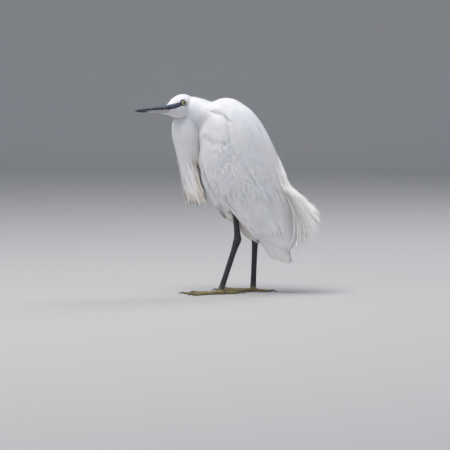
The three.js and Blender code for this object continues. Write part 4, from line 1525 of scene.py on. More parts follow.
# Broad swellings: along, angle, reach along, reach across in millimetres, height.
SWELLINGS = (
    (12, 104, 17, 17, 2.6), (56, 112, 20, 13, 1.1), (92, 118, 28, 10, 0.9), (60, 60, 40, 14, 0.9),
    (-4, 60, 14, 14, 0.8),
)
BODY_RADIUS = 47.0
ARC = math.radians(1) * BODY_RADIUS
# Share of the folds' slopes that the feathers' shading follows, so that they stay soft.
FOLD_SHADING = 0.6


def fold_height(along: Array, angle: Array) -> Array:
    """Gives how far the folds raise or sink the plumage.

    Args:
        along: Places along the axis.
        angle: Angles round it in radians, of either side.

    Returns:
        Heights in millimetres.
    """
    along, across = np.broadcast_arrays(along, np.degrees(np.abs(angle)) * ARC)
    total = np.zeros(along.shape)
    for line, width, depth, lip in FOLDS:
        points = np.array(line, float) * (1, ARC)
        nearest = np.full(along.shape, 1e9)
        signed = np.full(along.shape, 1e9)
        for start, end in zip(points, points[1:]):
            way = end - start
            reach = float(way @ way)
            t = np.clip(((along - start[0]) * way[0] + (across - start[1]) * way[1]) / reach, 0, 1)
            dx, dy = along - start[0] - t * way[0], across - start[1] - t * way[1]
            gap = np.hypot(dx, dy)
            hand = np.where(way[0] * dy - way[1] * dx >= 0, 1.0, -1.0)
            signed = np.where(gap < nearest, gap * hand, signed)
            nearest = np.minimum(gap, nearest)
        total -= depth * np.exp(-(((signed - 0.7 * width) / width) ** 2))
        total += lip * np.exp(-(((signed + 1.3 * width) / (1.4 * width)) ** 2))
    for place, turn, reach, wide, height in SWELLINGS:
        far = ((along - place) / reach) ** 2 + ((across - turn * ARC) / wide) ** 2
        total += height * np.exp(-far)
    return total


def fold_slope(along: Array, angle: Array) -> tuple[Array, Array]:
    """Gives how steeply the folds rise tailwards and away from the back.

    Args:
        along: Places along the axis.
        angle: Angles round it in radians, of either side.

    Returns:
        Rise for each millimetre in the two directions.
    """
    turn = np.abs(angle)
    tailwards = (fold_height(along + 1, turn) - fold_height(along - 1, turn)) / 2
    onwards = (fold_height(along, turn + 0.02) - fold_height(along, turn - 0.02)) / (0.04 * BODY_RADIUS)
    return tailwards * FOLD_SHADING, onwards * FOLD_SHADING


# Each small feather from root to tip: steps, how much of the coat's depth it has risen, half widths.
FEATHER_STEPS = np.array([0.0, 0.36, 0.7, 1.0])
FEATHER_RISE = np.array([-0.1, 0.9, 0.98, 1.0])
FEATHER_HALVES = np.array([0.3, 0.5, 0.42, 0.0])
# Height over the wing's bed, from root to tip, of the feathers that lie on it.
LAID_LIFT = ((0, -1.6), (0.36, 0.0), (0.7, 0.4), (1, 0.6))


@dataclass
class Feathers:
    """The coat's feathers before they are shaped, with one row of each array for each feather."""

    roots: Array
    normals: Array
    flow: Array
    length: Array
    width: Array
    depth: Array
    along: Array
    angle: Array
    swirl: Array
    folded: Array
    laid_flat: Array


@dataclass
class Coat:
    """The small feathers that cover the skin, laid along the guides."""

    guides: Guides
    skin: Skin
    finish: bpy.types.Material
    overlap: float = 44.0
    wing_from: float = 46.0
    wing_fade: float = 19.0
    wing_to: float = 186.0
    eye_rim: tuple[float, float] = (5.9, 5.8)
    thinnest: float = 0.4
    seed: int = 11
    piece_limit: int = 12000

    def roots(self) -> tuple[Array, Array]:
        """Scatters roots over the skin by the size of the feathers there.

        Returns:
            Roots in millimetres and the skin's normals there.
        """
        mesh = bpy.data.meshes["skin"]
        mesh.calc_loop_triangles()
        corners = np.empty(len(mesh.loop_triangles) * 3, int)
        mesh.loop_triangles.foreach_get("vertices", corners)
        corners = corners.reshape(-1, 3)
        places = millimetres(self.skin.points)
        a, b, c = (places[corners[:, i]] for i in range(3))
        area = np.linalg.norm(np.cross(b - a, c - a), axis=1) / 2
        _, length, width, _ = self.guides.at((a + b + c) / 3)
        expected = area * self.overlap * 1.6 / (length * width)
        draw = np.random.default_rng(self.seed)
        counts = draw.poisson(expected)
        picked = np.repeat(np.arange(len(area)), counts)
        r1, r2 = np.sqrt(draw.random(len(picked))), draw.random(len(picked))
        weights = np.stack([1 - r1, r1 * (1 - r2), r1 * r2], -1)[..., None]
        chosen = corners[picked]
        roots = (places[chosen] * weights).sum(1)
        normals = unit((self.skin.normals[chosen] * weights).sum(1))
        _, length, width, _ = self.guides.at(roots)
        spacing = 2.0 ** (np.round(np.log2(np.sqrt(length * width / self.overlap)) * 2) / 2)
        cells = np.floor(roots / spacing[:, None]).astype(np.int64)
        keys = cells[:, 0] * 73856093 ^ cells[:, 1] * 19349663 ^ cells[:, 2] * 83492791
        order = draw.permutation(len(roots))
        _, first = np.unique(keys[order], return_index=True)
        kept = np.sort(order[first])
        return roots[kept], normals[kept]

    def grows(self, roots: Array, tips: Array, normals: Array) -> Array:
        """Tells where small feathers grow: not on bare skin, nor under the wings' own vanes.

        Args:
            roots: Roots of the feathers in millimetres.
            tips: Their tips.
            normals: The skin's normals there.

        Returns:
            True where a feather grows.
        """
        head = HeadFrame.from_bird(roots)
        near_eye = np.zeros(len(roots), bool)
        for places, rim in zip((head, HeadFrame.from_bird(tips)), self.eye_rim):
            near_eye |= np.hypot(places[:, 0] - EYE_MIDDLE[0], places[:, 2] - EYE_MIDDLE[1]) < rim
        near_eye &= (np.abs(head[:, 1]) > 3) & (np.abs(head[:, 0]) < 30)
        bare = (bare_face(head) > 0.35) & (np.linalg.norm(head, axis=1) < 40)
        in_bill = head[:, 0] > 28.6
        along, angle = BodyAxis.coordinates(roots)
        degrees = np.degrees(np.abs(angle))
        under = (degrees > value_at(DORSAL_EDGE, along) + 8) & (degrees < value_at(VENTRAL_EDGE, along) - 3)
        fade = self.wing_from + np.random.default_rng(self.seed + 2).exponential(self.wing_fade, len(roots))
        wing = under & (along > fade) & (along < self.wing_to)
        foot = (normals[:, 2] < -0.3) & (roots[:, 2] < 202) & (roots[:, 0] < -58)
        on_shin = np.zeros(len(roots), bool)
        for side in Side:
            leg = LegPlan(side)
            start, way = leg.along(leg.bare_from), leg.ankle - leg.along(leg.bare_from)
            for places in (tips, (roots + tips) / 2):
                t = np.clip((places - start) @ way / (way @ way), 0, 1)
                on_shin |= np.linalg.norm(places - start - t[:, None] * way, axis=1) < 6.5
        in_bill &= (np.abs(head[:, 1]) < 12) & (head[:, 2] > -8.5) & (head[:, 2] < 12)
        return ~(near_eye | bare | in_bill | wing | foot | on_shin)

    def unwrap(self, roots: Array) -> tuple[Array, Array]:
        """Lays roots out on the unwrapped skin, each region in its own patch.

        Args:
            roots: Roots in millimetres.

        Returns:
            Places between 0 and 1, and each root's region number.
        """
        regions = self.skin.regions
        tree = KDTree(sum(len(places) for _, places in regions))
        owner = []
        for number, (_, places) in enumerate(regions):
            for place in places:
                tree.insert(place, len(owner))
                owner.append(number)
        tree.balance()
        owned = np.array([owner[tree.find(root)[1]] for root in roots])
        out = np.empty((len(roots), 2))
        for number, (region, places) in enumerate(regions):
            mine = owned == number
            if not mine.any():
                continue
            centre = places.mean(0)
            spread = np.linalg.svd(places - centre, full_matrices=False)[2]
            own, all_own = (roots[mine] - centre) @ spread.T, (places - centre) @ spread.T
            u = (np.arctan2(own[:, 2], own[:, 1]) + math.pi) / (2 * math.pi)
            low, high = all_own[:, 0].min(), all_own[:, 0].max()
            v = np.clip((own[:, 0] - low) / (high - low), 0, 1)
            out[mine] = region.spot(u, v)
        return out, owned

    def plan(self, draw: np.random.Generator) -> Feathers:
        """Sizes every small feather and leaves out those that don't grow.

        Args:
            draw: Source of unevenness.

        Returns:
            The coat's feathers.
        """
        roots, normals = self.roots()
        flow, length, width, depth = self.guides.at(roots)
        count = len(roots)
        along, angle = BodyAxis.coordinates(roots)
        degrees = np.degrees(np.abs(angle))
        inside = np.minimum(degrees - value_at(DORSAL_EDGE, along), value_at(VENTRAL_EDGE, along) - degrees)
        on_wing = smooth_step(-4, 6, inside) * smooth_step(22, 40, along) * smooth_step(200, 186, along)
        larger = 1 + 0.5 * on_wing * smooth_step(30, 80, along)
        length = length * draw.uniform(0.9, 1.25, count) * larger
        width = width * draw.uniform(0.75, 1.1, count) * larger
        sunk = np.clip(((BodyAxis.surface(WING_BED, along, angle) - roots) * normals).sum(1), 0, 12)
        depth = depth * (1 - on_wing) + (sunk + 0.5) * on_wing
        folded = smooth_step(-72, -58, roots[:, 0]) * smooth_step(-34, -20, along)
        flank = smooth_step(112, 96, along) * smooth_step(164, 152, degrees)
        laid_flat = np.maximum(on_wing, flank) * smooth_step(4, 24, along) * smooth_step(-60, -48, roots[:, 0])
        length = length * (1 - 0.55 * smooth_step(194, 210, along) * smooth_step(50, 80, degrees))
        swirl = 0.1 * ripple(roots, 40, 3) + draw.normal(0, 0.07, count)
        flow = unit(flow - normals * (flow * normals).sum(1, keepdims=True))
        across = np.cross(normals, flow)
        flow = unit(flow * np.cos(swirl)[:, None] + across * np.sin(swirl)[:, None])
        kept = self.grows(roots, roots + flow * length[:, None], normals)
        grown = (roots, normals, flow, length, width, depth, along, angle, swirl, folded, laid_flat)
        made = Feathers(*(values[kept] for values in grown))
        uneven = 1 + 0.03 * ripple(made.roots, 16, 7)
        loose = draw.normal(0, 0.02, len(made.roots)) * made.width
        made.depth = np.maximum(made.depth * uneven + loose, self.thinnest)
        return made

    def bent(self, made: Feathers) -> tuple[Array, Array]:
        """Bends the feathers along the skin.

        Args:
            made: The coat's feathers.

        Returns:
            Points in millimetres at each step of each feather, and the way out there.
        """
        faces = [tuple(face.vertices) for face in bpy.data.meshes["skin"].polygons]
        tree = BVHTree.FromPolygons(self.skin.points.tolist(), faces)
        line, up = [made.roots], [made.normals]
        for share in (0.5, 1.0):
            flat = made.roots + made.flow * (made.length * share)[:, None]
            found = [tree.find_nearest(Vector(place)) for place in metres(flat)]
            shift = millimetres(np.array([hit[0] for hit in found])) - flat
            size = np.linalg.norm(shift, axis=1) / (made.length * share)
            shift *= smooth_step(0.6, 0.3, size)[:, None]
            line.append(flat + shift)
            up.append(unit(np.array([hit[1] for hit in found]) * 0.8 + made.normals * 0.2))
        t = FEATHER_STEPS
        bow = (1 - t) * (1 - 2 * t), 4 * t * (1 - t), t * (2 * t - 1)
        centre = sum(p[:, None] * w[None, :, None] for p, w in zip(line, bow))
        return centre, unit(sum(p[:, None] * w[None, :, None] for p, w in zip(up, bow)))

    def lie(self, made: Feathers, centre: Array, over: Array, draw: np.random.Generator) -> None:
        """Lays the feathers of shoulder and flank smoothly over the wing's bed and its folds.

        Args:
            made: The coat's feathers.
            centre: Points at each step, which are moved.
            over: Ways out there, which are turned.
            draw: Source of unevenness.
        """
        laid = made.laid_flat > 0
        down = made.along[laid, None] + made.length[laid, None] * FEATHER_STEPS
        turned = made.angle[laid, None] + (made.swirl * made.length)[laid, None] * FEATHER_STEPS / 45
        lift = value_at(LAID_LIFT, FEATHER_STEPS) + draw.uniform(0, 0.4, (laid.sum(), 1))
        bed, out = BodyAxis.raised(down, turned, lift + fold_height(down, turned))
        share = made.laid_flat[laid, None, None]
        over[laid] = unit(over[laid] * (1 - share) + out * share)
        centre[laid] = centre[laid] * (1 - share) + bed * share

    def build(self) -> list[bpy.types.Object]:
        """Grows every small feather and joins them in pieces.

        Returns:
            The pieces.
        """
        draw = np.random.default_rng(self.seed + 1)
        made = self.plan(draw)
        centre, over = self.bent(made)
        spots = BodyAxis.coordinates(centre)
        folded = made.folded[:, None]
        tailwards, onwards = ((slope * folded)[..., None] for slope in fold_slope(*spots))
        centre = centre + over * ((made.depth[:, None] + fold_height(*spots) * folded) * FEATHER_RISE)[..., None]
        self.lie(made, centre, over, draw)
        ahead = unit(np.gradient(centre, axis=1))
        side = unit(np.cross(over, ahead))
        columns = np.array([-1.0, 0.0, 1.0])
        half = made.width[:, None] * FEATHER_HALVES
        points = centre[:, :, None] + side[:, :, None] * (half[..., None] * columns)[..., None]
        ridge = (made.width * 0.035)[:, None, None] * (1 - np.abs(columns))
        points = points + over[:, :, None] * ridge[..., None]
        lean = over - tailwards * ahead + onwards * side
        lean = lean[:, :, None] + side[:, :, None] * (columns * 0.22)[None, None, :, None]
        tint = Markings.at(made.roots) * draw.uniform(0.95, 1.03, (len(made.roots), 1))
        places, owned = self.unwrap(made.roots)
        order = np.argsort(owned, kind="stable")
        pieces = []
        for number, start in enumerate(range(0, len(order), self.piece_limit)):
            part = order[start : start + self.piece_limit]
            tufts = Tufts(f"coat_{number + 1:02d}", self.finish, Slot.PLUMAGE)
            tufts.leaves(points[part], places[part], tint[part], lean[part])
            pieces.append(tufts.build())
        LOG.info("coat: %d feathers", len(order))
        return pieces


# Wings, tail and loose plumes

# The folded wing's lower and upper edge: along the axis, angle in degrees.
VENTRAL_EDGE = ((14, 128), (26, 150), (45, 158), (70, 148), (104, 141), (143, 139), (180, 136), (240, 132))
DORSAL_EDGE = ((14, 62), (26, 42), (60, 39), (100, 38), (120, 31), (180, 26), (240, 22))
# A vane's width by the share of its length, and the rows of points that round its tip.
VANE_WIDTHS = ((0, 0.42), (0.25, 0.86), (0.6, 1), (0.88, 0.97), (0.95, 0.84), (0.98, 0.6), (0.993, 0.36), (1, 0.2))
VANE_ENDS = (0.93, 0.96, 0.98, 0.993, 1.0)


@dataclass(frozen=True)
class Tier:
    """One tier of a wing: how many vanes, where the first and the last run, how wide and how high they lie."""

    count: int
    first: tuple[tuple[float, float], tuple[float, float]]
    last: tuple[tuple[float, float], tuple[float, float]]
    width: float
    tilt: float
    heights: tuple[tuple[float, float], ...]
    point: float = 0.3
    uneven: float = 2.0


# Primaries, secondaries, tertials, then greater, median and lesser coverts.
WING_TIERS = (
    Tier(10, ((172, 114), (254, 131)), ((172, 62), (273, 60)), 10, 0.3, ((0, -6.5), (0.3, -3.2), (1, -2)), 0.4),
    Tier(13, ((96, 131), (208, 130)), ((112, 62), (250, 60)), 11, 0.22,
         ((0, -6), (0.14, -1.5), (0.5, -0.9), (1, -0.6))),
    Tier(8, ((104, 56), (252, 52)), ((112, 26), (242, 6)), 12, 0.22,
         ((0, -6), (0.14, -1.1), (0.5, -0.3), (1, 0.2)), 0.6),
    Tier(13, ((62, 138), (128, 131)), ((80, 46), (150, 48)), 10.5, 0.16, ((0, -5), (0.2, -0.9), (1, -0.5))),
    Tier(14, ((44, 144), (98, 137)), ((54, 46), (112, 50)), 10, 0.16, ((0, -4), (0.2, -0.5), (1, -0.2))),
    Tier(14, ((28, 148), (74, 143)), ((34, 44), (84, 48)), 9.5, 0.16, ((0, -3.8), (0.2, -0.2), (1, 0.1))),
)


@dataclass
class Wing:
    """One folded wing: six tiers of overlapping vanes over the bed."""

    side: Side
    finish: bpy.types.Material
    rows: int = 13
    columns: int = 7

    def vanes(self, tier: Tier, seed: int) -> tuple[Array, Array, Array]:
        """Shapes one tier.

        Args:
            tier: The tier's plan.
            seed: Seed of its unevenness.

        Returns:
            Points, tints and lit directions of its vanes.
        """
        draw = np.random.default_rng(seed)
        share = np.linspace(0, 1, tier.count)[:, None]
        ends = np.array([tier.first, tier.last], float)
        root = ends[0, 0] * (1 - share) + ends[1, 0] * share
        tip = ends[0, 1] * (1 - share) + ends[1, 1] * share
        tip[:, 0] += tier.uneven * draw.uniform(-1, 1, tier.count)
        tip[:, 1] += draw.uniform(-1.2, 1.2, tier.count)
        t = np.append(np.linspace(0, 0.88, self.rows - 4), VANE_ENDS)
        x = np.linspace(-1, 1, self.columns)
        long = (tip - root)[:, 0][:, None, None]
        reach = t[None, :, None] - tier.point * tier.width * x**2 * t[None, :, None] ** 6 / long
        along = root[:, 0, None, None] + long * reach
        degrees = root[:, 1, None, None] + (tip - root)[:, 1][:, None, None] * reach
        angle = np.radians(degrees)
        near, far = (BodyAxis.bare(WING_BED, along, angle + turn) for turn in (-0.01, 0.01))
        radius = np.linalg.norm(far - near, axis=-1) / 0.02
        width = tier.width * draw.uniform(0.94, 1.08, tier.count)[:, None, None]
        turned = angle + x * width * value_at(VANE_WIDTHS, t)[None, :, None] / 2 / radius
        height = value_at(tier.heights, t)[None, :, None] + x * tier.tilt * np.minimum(1, 0.4 + t)[None, :, None]
        camber = 0.16 * (1 - x**2) + 0.07 * np.exp(-((x / 0.12) ** 2))
        height = height + camber + draw.uniform(-0.06, 0.06, tier.count)[:, None, None]
        height = height + fold_height(along, turned) * smooth_step(250, 180, along)
        ruffle = 0.07 * np.sin(11 * t[None, :, None] + 4 * x + draw.uniform(0, 6.28, tier.count)[:, None, None])
        height = height + ruffle * t[None, :, None]
        points, lean = BodyAxis.raised(along, self.side.value * turned, height)
        across = points[:, :, -1:] - points[:, :, :1]
        tailwards, onwards = (slope[..., None] for slope in fold_slope(along, turned))
        lean = lean - tailwards * unit(np.gradient(points, axis=1)) - onwards * unit(across)
        lean = lean + across * (0.016 * x)[None, None, :, None]
        shade = Markings.at(points[:, :, self.columns // 2].reshape(-1, 3)).reshape(tier.count, -1, 3)
        # Painted shade: each vane darkened by up to 4 % towards its root, where the tier above covers it; the rest is
        # random unevenness.
        shade = shade * (1.0 - 0.04 * (1 - t)[None, :, None]) * draw.uniform(0.97, 1.02, (tier.count, 1, 1))
        return points, shade, lean

    def build(self) -> bpy.types.Object:
        """Builds the wing as one piece.

        Returns:
            The piece.
        """
        tufts = Tufts(f"wing_{self.side.word}_vanes", self.finish, Slot.PLUMAGE)
        for number, tier in enumerate(WING_TIERS):
            points, tints, lean = self.vanes(tier, 40 + number)
            along = np.linspace(tier.first[0][0], tier.last[0][0], tier.count) / 300
            patch = Region.WING_LEFT if self.side is Side.LEFT else Region.WING_RIGHT
            tufts.leaves(points, patch.spot(np.linspace(0.05, 0.95, tier.count), np.clip(along, 0, 1)), tints, lean)
        return tufts.build([f"wing_{self.side.word}"])


@dataclass
class Scapulars:
    """Long soft feathers that lie over the wing's upper edge on both sides."""

    finish: bpy.types.Material
    count: int = 46
    seed: int = 77

    def build(self) -> bpy.types.Object:
        """Builds them as one piece.

        Returns:
            The piece.
        """
        draw = np.random.default_rng(self.seed)
        tufts = Tufts("scapulars", self.finish, Slot.PLUMAGE)
        t = np.append(np.linspace(0, 0.97, 10), 1.0)[None, :, None]
        x = np.linspace(-1, 1, 5)
        for side in Side:
            root_along = draw.uniform(22, 104, self.count)
            root_angle = draw.uniform(16, 40, self.count)
            length, width = (draw.uniform(*span, self.count)[:, None, None] for span in ((46, 66), (7, 10)))
            along = root_along[:, None, None] + length * (t - 0.08 * x**2 * t**5)
            drift = draw.uniform(2, 10, self.count)[:, None, None] * t
            angle = np.radians(root_angle[:, None, None] + drift)
            half = width / 2 * value_at(((0, 0.3), (0.4, 1), (0.8, 0.7), (1, 0.25)), t)
            lift = value_at(((0, -3.5), (0.25, 0.9), (1, 1.2)), t) + 0.25 * (1 - x**2) + x * 0.25
            lift = lift + draw.uniform(-0.35, 0.35, self.count)[:, None, None] * t
            points, lean = BodyAxis.raised(along, side.value * (angle + x * half / 45), lift)
            shade = Markings.at(points[:, :, 2].reshape(-1, 3)).reshape(self.count, -1, 3)
            spots = Region.TORSO.spot(0.5 + side.value * root_angle / 360, root_along / 260)
            tufts.leaves(points, spots, shade, lean)
        return tufts.build()


@dataclass
class Tail:
    """Twelve tail feathers, closed over one another."""

    finish: bpy.types.Material
    count: int = 12
    base: float = 190.0
    tip: float = 275.0
    height: float = 14.0
    step: float = 0.35
    short: int = 90
    seed: int = 5

    def vanes(self) -> tuple[Array, Array, Array]:
        """Shapes the long tail feathers.

        Returns:
            Points, tints and lit directions.
        """
        t = np.append(np.linspace(0, 0.975, 14), 1.0)[None, :, None]
        x = np.linspace(-1, 1, 7)[None, None, :]
        place = (np.arange(self.count) - (self.count - 1) / 2)[:, None, None]
        outwards = np.abs(place)
        under = outwards - 0.5 + (place > 0)
        along = self.base + (self.tip - 0.9 * outwards - self.base) * (t - 0.05 * x**2 * t**6)
        half = 5.2 * value_at(VANE_WIDTHS, t[0, :, 0])[None, :, None]
        right = place * (1.2 + 0.65 * t) + x * half
        up = self.height - self.step * under - (x * np.sign(place) + 1) * 0.25
        up = up + 0.4 * (1 - x**2) + 0.2 * np.exp(-((x / 0.12) ** 2))
        points = BodyAxis.place(*np.broadcast_arrays(along, up, right))
        tints = Markings.at(points[:, :, 3].reshape(-1, 3)).reshape(self.count, -1, 3)
        return points, tints, np.broadcast_to(BodyAxis.dorsal, points.shape)

    def coverts(self) -> tuple[Array, Array, Array]:
        """Shapes the short feathers all round the tail's base.

        Returns:
            Points, tints and lit directions.
        """
        draw = np.random.default_rng(self.seed)
        middle = BodyAxis.place(200, 0, 0)
        steps = np.linspace(0, 1, 6)
        half = 2.6 * value_at(((0, 0.4), (0.5, 1), (1, 0.3)), steps)
        grown = []
        for _ in range(self.short):
            turn, start = draw.uniform(0, 2 * math.pi), draw.uniform(170, 206)
            out = 1 + 0.1 * steps
            up = self.height - 4.5 + 6 * math.cos(turn) * out * (1 - 0.3 * steps)
            line = BodyAxis.place(start + 30 * steps, up, 11 * math.sin(turn) * out)
            away = BodyAxis.place(200, math.cos(turn) * 9, math.sin(turn) * 9) - middle
            side = unit(np.cross(np.gradient(line, axis=0), away))
            grown.append(line[:, None] + side[:, None] * half[:, None, None] * np.array([-1, 0, 1])[None, :, None])
        points = np.array(grown)
        tints = Markings.at(points[:, 2, 1]) * draw.uniform(0.95, 1.02, (self.short, 1))
        return points, tints, points - points.mean((0, 2))[None, :, None]

    def build(self) -> bpy.types.Object:
        """Builds the tail as one piece.

        Returns:
            The piece.
        """
        tufts = Tufts("tail_vanes", self.finish, Slot.PLUMAGE)
        for (points, tints, lean), down in ((self.vanes(), 0), (self.coverts(), 0.02)):
            spots = Region.TORSO.spot(np.linspace(0, 1, len(points)), 1.0)
            tufts.leaves(points, spots - (0, down), tints, lean)
        return tufts.build(["tail"])


@dataclass
class BackPlumes:
    """The long loose plumes of the mantle, each a thin shaft with two combs of curved barbs."""

    finish: bpy.types.Material
    count: int = 60
    barbs: int = 60
    seed: int = 21
    tips: tuple = ((0, 195, 82), (0.2, 214, 82), (0.4, 236, 72), (0.6, 250, 56), (0.82, 251, 32), (1, 240, 22))
    lengths: tuple = ((0, 9), (0.4, 15), (0.7, 21), (0.9, 17), (1, 8))

    def shafts(self, draw: np.random.Generator) -> Array:
        """Lays the shafts over the back and off it.

        Args:
            draw: Source of unevenness.

        Returns:
            Guide points of each shaft, shafts by seven by 3.
        """
        share = np.linspace(0, 1, self.count)
        spread = 2 * share - 1 + draw.uniform(-0.03, 0.03, self.count)
        fan = (np.arange(self.count) * 23 % self.count) / (self.count - 1)
        tip = table_at(self.tips, fan) + draw.uniform(-4, 4, (self.count, 2))
        sideways = 33 * spread + draw.uniform(-4, 4, self.count)
        leaving = 146 + 10 * fan
        start = 18 * np.abs(spread) ** 1.5 + draw.uniform(-14, 14, self.count)

        def lying(along: Array, lift: Array, degrees: float) -> Array:
            """Places a point on the back."""
            return BodyAxis.surface(WING_BED, along, np.radians(-degrees * spread), lift)

        def off(by: float, rise: float, out: float) -> Array:
            """Places a point on the way to the tip.

            Args:
                by: Share of the way in length.
                rise: Share of the way in height.
                out: Share of the way sideways.

            Returns:
                Places in millimetres.
            """
            up = 61 * (1 - rise) + tip[:, 1] * rise
            side = 27 * spread * (1 - out) + sideways * out
            return BodyAxis.place(leaving * (1 - by) + tip[:, 0] * by, up, side)

        lift = draw.uniform(-0.8, 1.0, self.count)
        line = [
            lying(58 + 22 * fan + 0.8 * start, -2.8 + 0 * fan, 22),
            lying(90 + 14 * fan + start, -0.4 + 0.6 * lift, 26),
            lying(119 + 12 * fan + 0.5 * start, 1.9 + lift, 30), lying(leaving, 3.8 - 1.2 * fan + lift, 32),
            off(0.5, 0.38, 0.5), off(0.82, 0.68, 0.8), BodyAxis.place(tip[:, 0], tip[:, 1], sideways),
        ]
        return np.stack(line, 1)

    def comb(self, line: Array, draw: np.random.Generator) -> tuple[Array, Array]:
        """Grows the barbs of one plume by turns on its two sides.

        Args:
            line: Guide points of the shaft.
            draw: Source of unevenness.

        Returns:
            Points of each barb, and its radius.
        """
        at = np.linspace(0.1, 0.985, self.barbs)
        ahead = unit(path_at(line, np.minimum(at + 0.01, 1)) - path_at(line, at - 0.01))
        up = np.tile(BodyAxis.dorsal, (self.barbs, 1)) + 0.25 * draw.normal(size=3)
        hand = np.where(np.arange(self.barbs) % 2, 1.0, -1.0)[:, None]
        reach = (value_at(self.lengths, at) * draw.uniform(0.7, 1.15, self.barbs))[:, None, None]
        wide = 0.34 * draw.uniform(0.5, 1.2, self.barbs)[:, None]
        loose = draw.normal(0, 0.07, (self.barbs, 3))
        droop = BodyAxis.dorsal * (-0.03) * draw.uniform(-1, 2.2, self.barbs)[:, None]
        s = np.linspace(0, 1, 5)[None, :, None]
        path = path_at(line, at)[:, None] + ahead[:, None] * reach * s
        path = path + (unit(np.cross(ahead, up)) * hand * wide)[:, None] * reach * s * (1 - 0.45 * s)
        path = path + (loose + droop)[:, None] * reach * s**2
        return path, 0.17 + 0.05 * draw.random(self.barbs)

    def build(self) -> bpy.types.Object:
        """Builds every plume as one piece.

        Returns:
            The piece.
        """
        draw = np.random.default_rng(self.seed)
        guides = self.shafts(draw)
        tufts = Tufts("back_plumes", self.finish, Slot.PLUMES)
        roots = Region.TORSO.spot(np.linspace(0.35, 0.65, self.count), 0.396)
        warm = np.array([0.88, 0.87, 0.85])
        lit = np.array([0.2, -0.3, 0.9])
        steps = np.linspace(0, 1, 15)
        curl = BodyAxis.dorsal * smooth_step(0.8, 1.05, steps)[:, None] ** 2
        lines = np.array([path_at(line, steps) for line in guides])
        lines = lines + curl * draw.uniform(0, 9, self.count)[:, None, None]
        tufts.strands(lines, 0.42 * (1 - 0.75 * steps[:-1]), roots, np.repeat(warm[None], self.count, 0), lit)
        combs, sizes = zip(*(self.comb(line, draw) for line in guides))
        strands = np.concatenate(combs)
        taper = np.concatenate(sizes)[:, None] * np.array([1, 0.9, 0.7, 0.45])
        tint = np.repeat(warm[None], len(strands), 0) * draw.uniform(0.97, 1.02, (len(strands), 1))
        tufts.strands(strands, taper, np.repeat(roots, self.barbs, 0), tint, lit)
        return tufts.build(["mantle_plumes"])


@dataclass
class BreastPlumes:
    """Loose pointed plumes that hang from the foot of the neck in separate locks."""

    finish: bpy.types.Material
    count: int = 300
    locks: int = 22
    seed: int = 31

    def build(self) -> bpy.types.Object:
        """Builds them as one piece.

        Returns:
            The piece.
        """
        draw = np.random.default_rng(self.seed)
        tufts = Tufts("breast_plumes", self.finish, Slot.PLUMES)
        lock = np.arange(self.count) % self.locks
        place = (np.arange(self.locks) + draw.uniform(0.2, 0.8, self.locks)) / self.locks * 2 - 1
        behind = np.abs(place)
        low = 141 + 13 * behind + draw.uniform(-5, 9, self.locks)
        point = np.stack([-83 + 36 * behind, -9 * np.sin(2 * place), low], -1)
        turn = np.clip(place[lock] + draw.normal(0, 0.07, self.count), -1, 1) * 2.0
        height = 180 + 60 * draw.random(self.count) ** 1.6
        front, rear, half = np.moveaxis(table_at(NECK_FOLD, height), -1, 0)
        outwards = unit(np.stack([-np.cos(turn), -np.sin(turn), 0.55 + 0 * turn], -1))
        start = np.stack([(front + rear) / 2 - (rear - front) / 2 * np.cos(turn), -half * np.sin(turn), height], -1)
        start = start + outwards * draw.uniform(-0.6, 0.6, (self.count, 1))
        end = point[lock] + draw.normal(0, 1, (self.count, 3)) * (0.7, 0.7, 0)
        end = end + (0, 0, 1) * draw.exponential(5, (self.count, 1))
        middle = start * 0.45 + end * 0.55 + outwards * (1.5, 1.5, 0) + draw.normal(0, 0.5, (self.count, 3))
        t = np.append(np.linspace(0, 0.94, 9), 1.0)[None, :, None]
        line = (1 - t) ** 2 * start[:, None] + 2 * t * (1 - t) * middle[:, None] + t**2 * end[:, None]
        sideways = unit(np.cross(outwards, end - start))
        half = 1.25 * value_at(((0, 0.3), (0.3, 1), (0.6, 0.6), (0.94, 0.16), (1, 0.08)), t[0, :, 0])
        half = half[None] * draw.uniform(0.7, 1.2, self.count)[:, None]
        x = np.array([-1.0, 0.0, 1.0])
        points = line[:, :, None] + sideways[:, None, None] * (half[..., None] * x)[..., None]
        points = points + outwards[:, None, None] * (0.22 * (1 - x**2))[None, None, :, None]
        spots = Region.FOLD.spot((turn + 2) / 4, 0.27 * draw.random(self.count))
        warmth = (0.85 * t**1.5) * np.ones((self.count, 1, 1))
        tint = Markings.at(start)[:, None] * (1 - warmth) + Markings.ivory * warmth
        tint = tint * draw.uniform(0.95, 1.03, (self.count, 1, 1))
        lit = outwards[:, None, None] + np.array([0, 0, 0.7]) * (t[..., None] - 0.75)
        tufts.leaves(points, spots, tint, np.broadcast_to(lit, points.shape))
        picked = np.repeat(np.arange(self.count), 5)
        at = draw.uniform(0.35, 0.9, len(picked))[:, None]
        base = (1 - at) ** 2 * start[picked] + 2 * at * (1 - at) * middle[picked] + at**2 * end[picked]
        onward = unit(end - middle)[picked]
        out = sideways[picked] * draw.uniform(-1, 1, (len(picked), 1)) * 0.16 + draw.normal(0, 0.03, (len(picked), 3))
        s = np.linspace(0, 1, 5)[None, :, None]
        long = draw.uniform(6, 11, len(picked))[:, None, None]
        strands = base[:, None] + onward[:, None] * long * s + out[:, None] * long * s * (1.3 - 0.5 * s)
        tufts.strands(strands, np.array([0.16, 0.14, 0.11, 0.07]), spots[picked], tint[picked, 5], outwards[picked])
        return tufts.build(["neck_lower"])


# Bill, eyes and bare face

BLACK = np.array([0.008, 0.009, 0.014])
SLATE = np.array([0.022, 0.028, 0.045])
BLUE = np.array([0.08, 0.11, 0.19])
PALE = np.array([0.5, 0.46, 0.5])
PINK = np.array([0.64, 0.55, 0.56])


